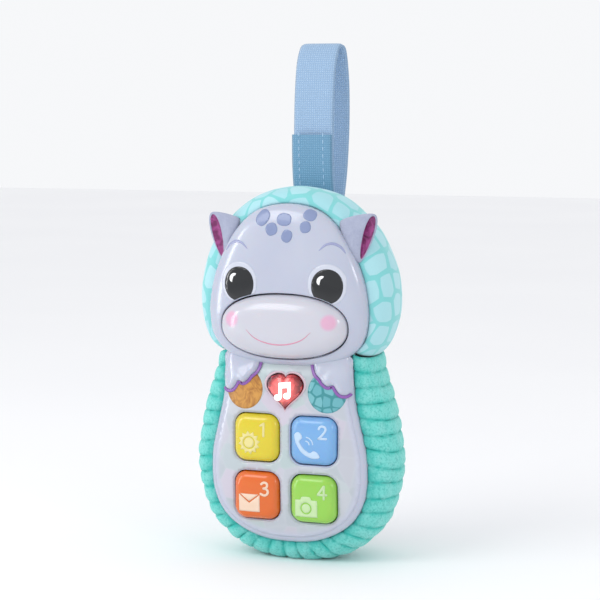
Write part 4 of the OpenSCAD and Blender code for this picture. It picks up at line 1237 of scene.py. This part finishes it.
# %% Geometry Nodes that raise the ribs
def geometry_tree(name, **numbers):
    """A Geometry Nodes tree that takes a mesh, the named numbers and a material, and gives a mesh."""
    tree = bpy.data.node_groups.new(name, "GeometryNodeTree")
    face = tree.interface
    face.new_socket("Geometry", in_out="INPUT", socket_type="NodeSocketGeometry")
    for label, value in numbers.items():
        socket = face.new_socket(label.replace("_", " "), in_out="INPUT", socket_type="NodeSocketFloat")
        socket.default_value = value
    face.new_socket("Material", in_out="INPUT", socket_type="NodeSocketMaterial")
    face.new_socket("Geometry", in_out="OUTPUT", socket_type="NodeSocketGeometry")
    return tree, add(tree, "NodeGroupInput").outputs


def rib_tree():
    """Raises sewn channels. The attribute rib counts channels along the ring, and hold fades them out."""
    tree, inp = geometry_tree("sewn_channels", Groove_depth=2.0, Crest_height=0.6, Roundness=0.55, Crinkle=0.5)
    count = add(tree, "GeometryNodeInputNamedAttribute", {"Name": "rib"}, data_type="FLOAT").outputs["Attribute"]
    hold = add(tree, "GeometryNodeInputNamedAttribute", {"Name": "hold"}, data_type="FLOAT").outputs["Attribute"]

    def calc(operation, a, b=0.0):
        return add(tree, "ShaderNodeMath", {0: a, 1: b}, operation=operation).outputs[0]

    phase = calc("FRACT", count)
    centred = calc("SUBTRACT", calc("MULTIPLY", phase, 2.0), 1.0)
    square = calc("MULTIPLY", centred, centred)
    crest = calc("POWER", calc("MAXIMUM", calc("SUBTRACT", 1.0, square), 0.0), inp["Roundness"])
    total = calc("ADD", inp["Groove depth"], inp["Crest height"])
    place = add(tree, "GeometryNodeInputPosition").outputs[0]
    folds = add(tree, "ShaderNodeTexNoise", {"Vector": place, "Scale": per_mm(4.5), "Detail": 3.0}).outputs["Fac"]
    crinkle = calc("MULTIPLY", calc("SUBTRACT", folds, 0.5), inp["Crinkle"])
    smooth_rise = calc("SUBTRACT", calc("MULTIPLY", crest, total), inp["Groove depth"])
    rise = calc("MULTIPLY", calc("ADD", smooth_rise, crinkle), hold)
    normal = add(tree, "GeometryNodeInputNormal").outputs[0]
    push = add(tree, "ShaderNodeVectorMath", {0: normal, "Scale": calc("MULTIPLY", rise, MM)},
               operation="SCALE").outputs[0]
    stored = add(tree, "GeometryNodeStoreNamedAttribute",
                 {"Geometry": inp["Geometry"], "Name": "crest", "Value": crest}, data_type="FLOAT",
                 domain="POINT").outputs["Geometry"]
    moved = add(tree, "GeometryNodeSetPosition", {"Geometry": stored, "Offset": push}).outputs["Geometry"]
    real = add(tree, "GeometryNodeRealizeInstances", {"Geometry": moved}).outputs["Geometry"]
    dressed = add(tree, "GeometryNodeSetMaterial", {"Geometry": real, "Material": inp["Material"]})
    add(tree, "NodeGroupOutput", {"Geometry": dressed.outputs["Geometry"]})
    return tree


def grow(made, tree, **values):
    """Runs a Geometry Nodes tree on a piece and keeps the result as its plain mesh."""
    modifier = made.modifiers.new("grow", "NODES")
    modifier.node_group = tree
    keys = {item.name: item.identifier for item in tree.interface.items_tree if item.in_out == "INPUT"}
    for label, value in values.items():
        modifier[keys[label.replace("_", " ")]] = value
    bpy.context.view_layer.update()
    result = bpy.data.meshes.new_from_object(made.evaluated_get(bpy.context.evaluated_depsgraph_get()))
    made.modifiers.remove(modifier)
    old, made.data = made.data, result
    bpy.data.meshes.remove(old)
    result.name = made.name
    return made


# %% Ribbed body
RIBS, RIB_POINTS, ACROSS = 33, 16, 26
body_grid, body_length, body_share = swept_skin(BODY_RIM, BODY_OUT, BODY_BACK, RIBS * RIB_POINTS + 1, ACROSS)
rows, columns = body_grid.shape[:2]
plush_body = make_piece("ribbed_plush_body", body_grid.reshape(-1, 3), grid_faces(rows, columns), rib_velour, None)
look_away(plush_body, (0, 0, 46))
station = np.linspace(0, RIBS, rows)[:, None] + np.zeros(columns)
wander = np.array([[0.16 * noise.noise(Vector((i * 0.9 * RIBS / rows, body_share[j] * 2.2, 3.0)))
                    for j in range(columns)] for i in range(rows)])
ends = np.minimum(station, RIBS - station)
set_attribute(plush_body, "rib", np.clip(station + wander * np.clip(ends, 0, 1), 0.0, RIBS - 1e-4))
hold = np.clip(np.arange(columns) / 3.0, 0, 1) * np.clip((columns - 1 - np.arange(columns)) / 5.0, 0, 1)
set_attribute(plush_body, "hold", np.broadcast_to(0.35 + 0.65 * hold, (rows, columns)) * (np.arange(columns) > 0))
# shade is low at the module's rim, where the velour paints shade.
set_attribute(plush_body, "shade", np.broadcast_to(1 - np.exp(-body_share * 9), (rows, columns)))
grow(plush_body, rib_tree(), Groove_depth=1.05, Crest_height=0.25, Roundness=0.3, Crinkle=1.3,
     Material=rib_velour)
for vertex in plush_body.data.vertices:          # it stands on a flattened patch
    vertex.co.z = max(vertex.co.z, 0.0)
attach(plush_body, ROOT)
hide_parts("body_cover", "body_stuffing")
print("ribs:", RIBS, "pitch mm:", round(body_length / RIBS, 2), "faces:", len(plush_body.data.polygons))

# %% Hood: smooth, tight, drawn in at its two ends and gently uneven like any stuffed ring
hood_grid, hood_length, _ = swept_skin(HOOD_RIM, HOOD_OUT, HOOD_BACK, 260, 22)
rows, columns = hood_grid.shape[:2]
run = np.linspace(0, hood_length, rows)
close = np.clip(np.minimum(run, hood_length - run) / 6.0, 0, 1)
draw = 1 - np.sqrt(1 - (1 - close) ** 2)
spine = hood_grid.mean(axis=1, keepdims=True)
hood_grid += (spine - hood_grid) * draw[:, None, None] * 0.28
plush_hood = make_piece("printed_plush_hood", hood_grid.reshape(-1, 3), grid_faces(rows, columns), hood_knit, None)
look_away(plush_hood, (0, 0, 112))
cloth = plush_hood.data.uv_layers.new(name="cloth")
girth = np.concatenate([[0], np.cumsum(np.linalg.norm(np.diff(hood_grid[rows // 2], axis=0), axis=1))])
for corner in plush_hood.data.loops:
    i, j = divmod(corner.vertex_index, columns)
    cloth.data[corner.index].uv = (run[i], girth[j])
uneven = np.array([0.45 * noise.noise(v.co * 1000 / 14.0) for v in plush_hood.data.vertices])
bpy.context.view_layer.update()
for vertex, push in zip(plush_hood.data.vertices, uneven):
    vertex.co += vertex.normal * float(push) * MM
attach(plush_hood, ROOT)
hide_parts("hood_cover", "hood_stuffing")
print("hood length mm:", round(hood_length, 1), "faces:", len(plush_hood.data.polygons))


# %% [markdown]
# ## Ears
# Each ear is a folded cup of velour with a satin lining. Rings run from the seam at the head to the opening,
# turn over the edge and go back inside, so the velour ends in a soft rolled rim and the satin starts there.


# %% Rings of an ear
def ear_ring(centre, along, outwards, half_long, half_wide, count=40, pinch=0.0):
    """Pointed oval ring of the given half sizes. pinch narrows its lower end."""
    a = np.linspace(0, 2 * math.pi, count, endpoint=False)
    up = np.array(along, float) / np.linalg.norm(along)
    side = np.array(outwards, float) / np.linalg.norm(outwards)
    width = half_wide * (1 + pinch * np.cos(a))
    return np.array(centre) + np.outer(np.cos(a) * half_long, up) + np.outer(np.sin(a) * width, side)


def ear(side):
    """The two ears are soft, so the left one has turned a little more to the front than the right one."""
    def at(x, y, z):
        return np.array((side * x, y, z), float)

    long_base, long_rim = at(-8.2, 0, 15.6), at(5.6, 0, 19.2) if side > 0 else at(4.6, 0, 19.0)
    wide_base, wide_rim = at(0.15, 1, 0.1), at(0.78, 0.62, -0.12) if side > 0 else at(0.95, 0.34, -0.12)
    base, rim = at(24.6, -17.6, 135.4), at(34.3, -18.6, 137.0) if side > 0 else at(31.8, -18.6, 136.2)
    half_wide = 3.0 if side > 0 else 3.5

    def blend(t):
        lean = long_base / np.linalg.norm(long_base) * (1 - t) + long_rim / np.linalg.norm(long_rim) * t
        return base + (rim - base) * t, lean, wide_base * (1 - t) + wide_rim * t

    steps = [(0.0, 8.8, 1.9), (0.25, 9.2, 2.6), (0.5, 9.7, 3.2), (0.75, 10.1, half_wide), (0.92, 10.3, half_wide)]
    outer = [ear_ring(*blend(t), long, wide, pinch=0.3 * t) for t, long, wide in steps]
    outer += [ear_ring(*blend(t), long, wide, pinch=0.3) for t, long, wide in
              ((1.0, 10.2, half_wide - 0.1), (1.03, 9.8, half_wide - 0.5), (1.0, 9.2, half_wide - 0.95))]
    lining = [outer[-1]] + [ear_ring(*blend(t), long, wide, pinch=0.3) for t, long, wide in
                            ((0.93, 8.9, half_wide - 1.15), (0.8, 8.0, half_wide - 1.5), (0.68, 6.8, 1.1),
                             (0.6, 5.0, 0.5))]
    return outer, lining


noise.seed_set(1)                                # without a seed, noise_vector starts from the clock
for side, label in ((-1, "left"), (1, "right")):
    outer, lining = ear(side)
    cup = make_piece(f"ear_{label}_velour", *loft(outer, end_cap=False), ear_velour, ROOT, "ear_velour")
    satin = make_piece(f"ear_{label}_satin", *loft(lining, start_cap=False), ear_satin, ROOT, "ear_satin")
    look_away(cup, outer[1].mean(axis=0), weighed=True)
    look_away(satin, lining[-1].mean(axis=0), weighed=True, inwards=True)
    for piece in (cup, satin):
        smoother = piece.modifiers.new("smooth", "SUBSURF")
        smoother.levels = smoother.render_levels = 1
    for vertex in satin.data.vertices:
        vertex.co += Vector(noise.noise_vector(vertex.co * 1000 / 3.0)) * 0.35 * MM
    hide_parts(f"ear_{label}")
    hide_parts(f"ear_{label}_lining")
print("ears made")


# %% [markdown]
# ## Strap
# Webbing is woven flat, so it is modelled as a ribbon swept along its path, with its own UV map in
# millimetres for the weave. The front tab is sewn down with two rows of stitches, which Geometry Nodes place.


# %% Ribbons with rounded edges
STRAP_PATH = [(12.6, 150), (11, 168), (11, 182), (11.8, 195), (14, 207.4), (18, 214.3), (22.2, 215.9), (26.6, 213.4),
              (29.6, 204), (30.8, 193), (30.4, 178), (28, 162), (24.2, 150), (20.8, 141.8)]
TAB_PATH = [(11.4, 150.4), (9.4, 160), (8.6, 169), (8.5, 178)]
STRAP_W, STRAP_T = 18.0, 1.3


def ribbon(name, path, material, slot):
    """A ribbon along a path of (Y, Z) points, with the points of its middle line and their normals."""
    line = curve_through(path, 8)
    ahead = np.gradient(line, axis=0)
    ahead /= np.hypot(*ahead.T)[:, None]
    normal = np.stack([-ahead[:, 1], ahead[:, 0]], 1)
    run = np.concatenate([[0], np.cumsum(np.hypot(*np.diff(line, axis=0).T))])
    profile = [(u * STRAP_W / 2, STRAP_T / 2 * (1 - abs(u) ** 10) ** 0.5) for u in np.linspace(-1, 1, 17)]
    section = profile + [(u, -v) for u, v in profile[-2:0:-1]]
    rings = [[(x, p[0] + n[0] * v, p[1] + n[1] * v) for x, v in section] for p, n in zip(line, normal)]
    made = make_piece(name, *loft([np.array(r) for r in rings]), material, ROOT, slot)
    uv = made.data.uv_layers.new(name="yarn")
    count = len(section)
    for loop in made.data.loops:
        ring_no, k = divmod(loop.vertex_index, count)
        uv.data[loop.index].uv = (section[k][0], run[ring_no])
    with opened(made) as mesh:
        bmesh.ops.recalc_face_normals(mesh, faces=mesh.faces)
    return made, line, normal


strap, *_ = ribbon("strap_webbing_loop", STRAP_PATH, strap_fabric, "webbing")
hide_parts("strap_webbing")
tab, tab_line, tab_normal = ribbon("strap_front_tab", TAB_PATH, shaded_tab_webbing, "webbing_tab")
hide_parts("strap_tab")


# %% Stitches along the tab
def stitch_tree():
    tree, inp = geometry_tree("row_of_stitches", Spacing=0.0026, Length=0.0019, Thickness=0.0004)
    line = add(tree, "GeometryNodeMeshToCurve", {"Mesh": inp["Geometry"]}).outputs["Curve"]
    points = add(tree, "GeometryNodeResampleCurve", {"Curve": line, "Length": inp["Spacing"]}, mode="LENGTH")
    tangent = add(tree, "GeometryNodeInputTangent").outputs[0]
    turned = add(tree, "FunctionNodeAlignRotationToVector", {"Vector": tangent}, axis="Z").outputs["Rotation"]
    thread = add(tree, "GeometryNodeMeshUVSphere", {"Segments": 8, "Rings": 6, "Radius": 0.5}).outputs["Mesh"]
    size = add(tree, "ShaderNodeCombineXYZ", {"X": inp["Thickness"], "Y": inp["Thickness"], "Z": inp["Length"]})
    placed = add(tree, "GeometryNodeInstanceOnPoints", {"Points": points.outputs[0], "Instance": thread,
                                                        "Rotation": turned, "Scale": size.outputs[0]})
    real = add(tree, "GeometryNodeRealizeInstances", {"Geometry": placed.outputs[0]})
    dressed = add(tree, "GeometryNodeSetMaterial", {"Geometry": real.outputs[0], "Material": inp["Material"]})
    add(tree, "NodeGroupOutput", {"Geometry": dressed.outputs[0]})
    return tree


def sew(name, lines):
    """Rows of stitches along lines of points, in millimetres."""
    points, edges = [], []
    for line in lines:
        edges += [(len(points) + i, len(points) + i + 1) for i in range(len(line) - 1)]
        points += [tuple(np.asarray(p) * MM) for p in line]
    data = bpy.data.meshes.new(name)
    data.from_pydata(points, edges, [])
    data.materials.append(sewing_thread)
    made = bpy.data.objects.new(name, data)
    bpy.context.scene.collection.objects.link(made)
    grow(made, stitch_tree(), Material=sewing_thread)
    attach(made, ROOT)
    return made


def on_tab(x, height, first=6, last=32):
    """The line at x that runs height above the tab, from one of the path's points to another."""
    return [(x, p[0] + n[0] * height, p[1] + n[1] * height)
            for p, n in zip(tab_line[first:last], tab_normal[first:last])]


towards_front = 1 if tab_normal[8][0] < 0 else -1
rows_of_thread = [on_tab(x, towards_front * (STRAP_T / 2 + 0.05)) for x in (-5.6, 5.2)]
thread = sew("tab_stitches", rows_of_thread)
print("stitch faces:", len(thread.data.polygons))


# %% [markdown]
# ## Back panel
# A plain velour panel closes the back of the plush. It is cut round the module's rear cover and bulges a
# little between the cover and the seam.


# %% Back panel
def back_panel():
    tub = rounded_loop(48.6, 117.6, 12.3, 14) + (0, 78.5)
    outline = np.concatenate([both_sides(BODY_BACK, 8), both_sides(HOOD_BACK, 8)[::-1][1:-1]])
    flat, faces = region(outline, [tub], grid_over(outline, 1.5))
    edge_near = distance_to_line(flat, np.concatenate([outline, outline[:1]]))
    tub_near = distance_to_line(flat, np.concatenate([tub, tub[:1]]))
    puff = np.minimum(edge_near, tub_near)
    y = BACK_Y + 0.2 + 1.1 * (1 - np.exp(-puff / 1.2)) - 0.8
    parts = [(lift(flat, y), faces), wall(lift(tub, BACK_Y - 0.6), [lift(tub, BACK_Y - 1.6)])]
    made = make_piece("velour_back_panel", *merge(parts), back_velour, ROOT, "back_fabric")
    face_front(made)
    for polygon in made.data.polygons:
        polygon.flip()
    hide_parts("back_panel")
    return made


back = back_panel()
print("back panel faces:", len(back.data.polygons))
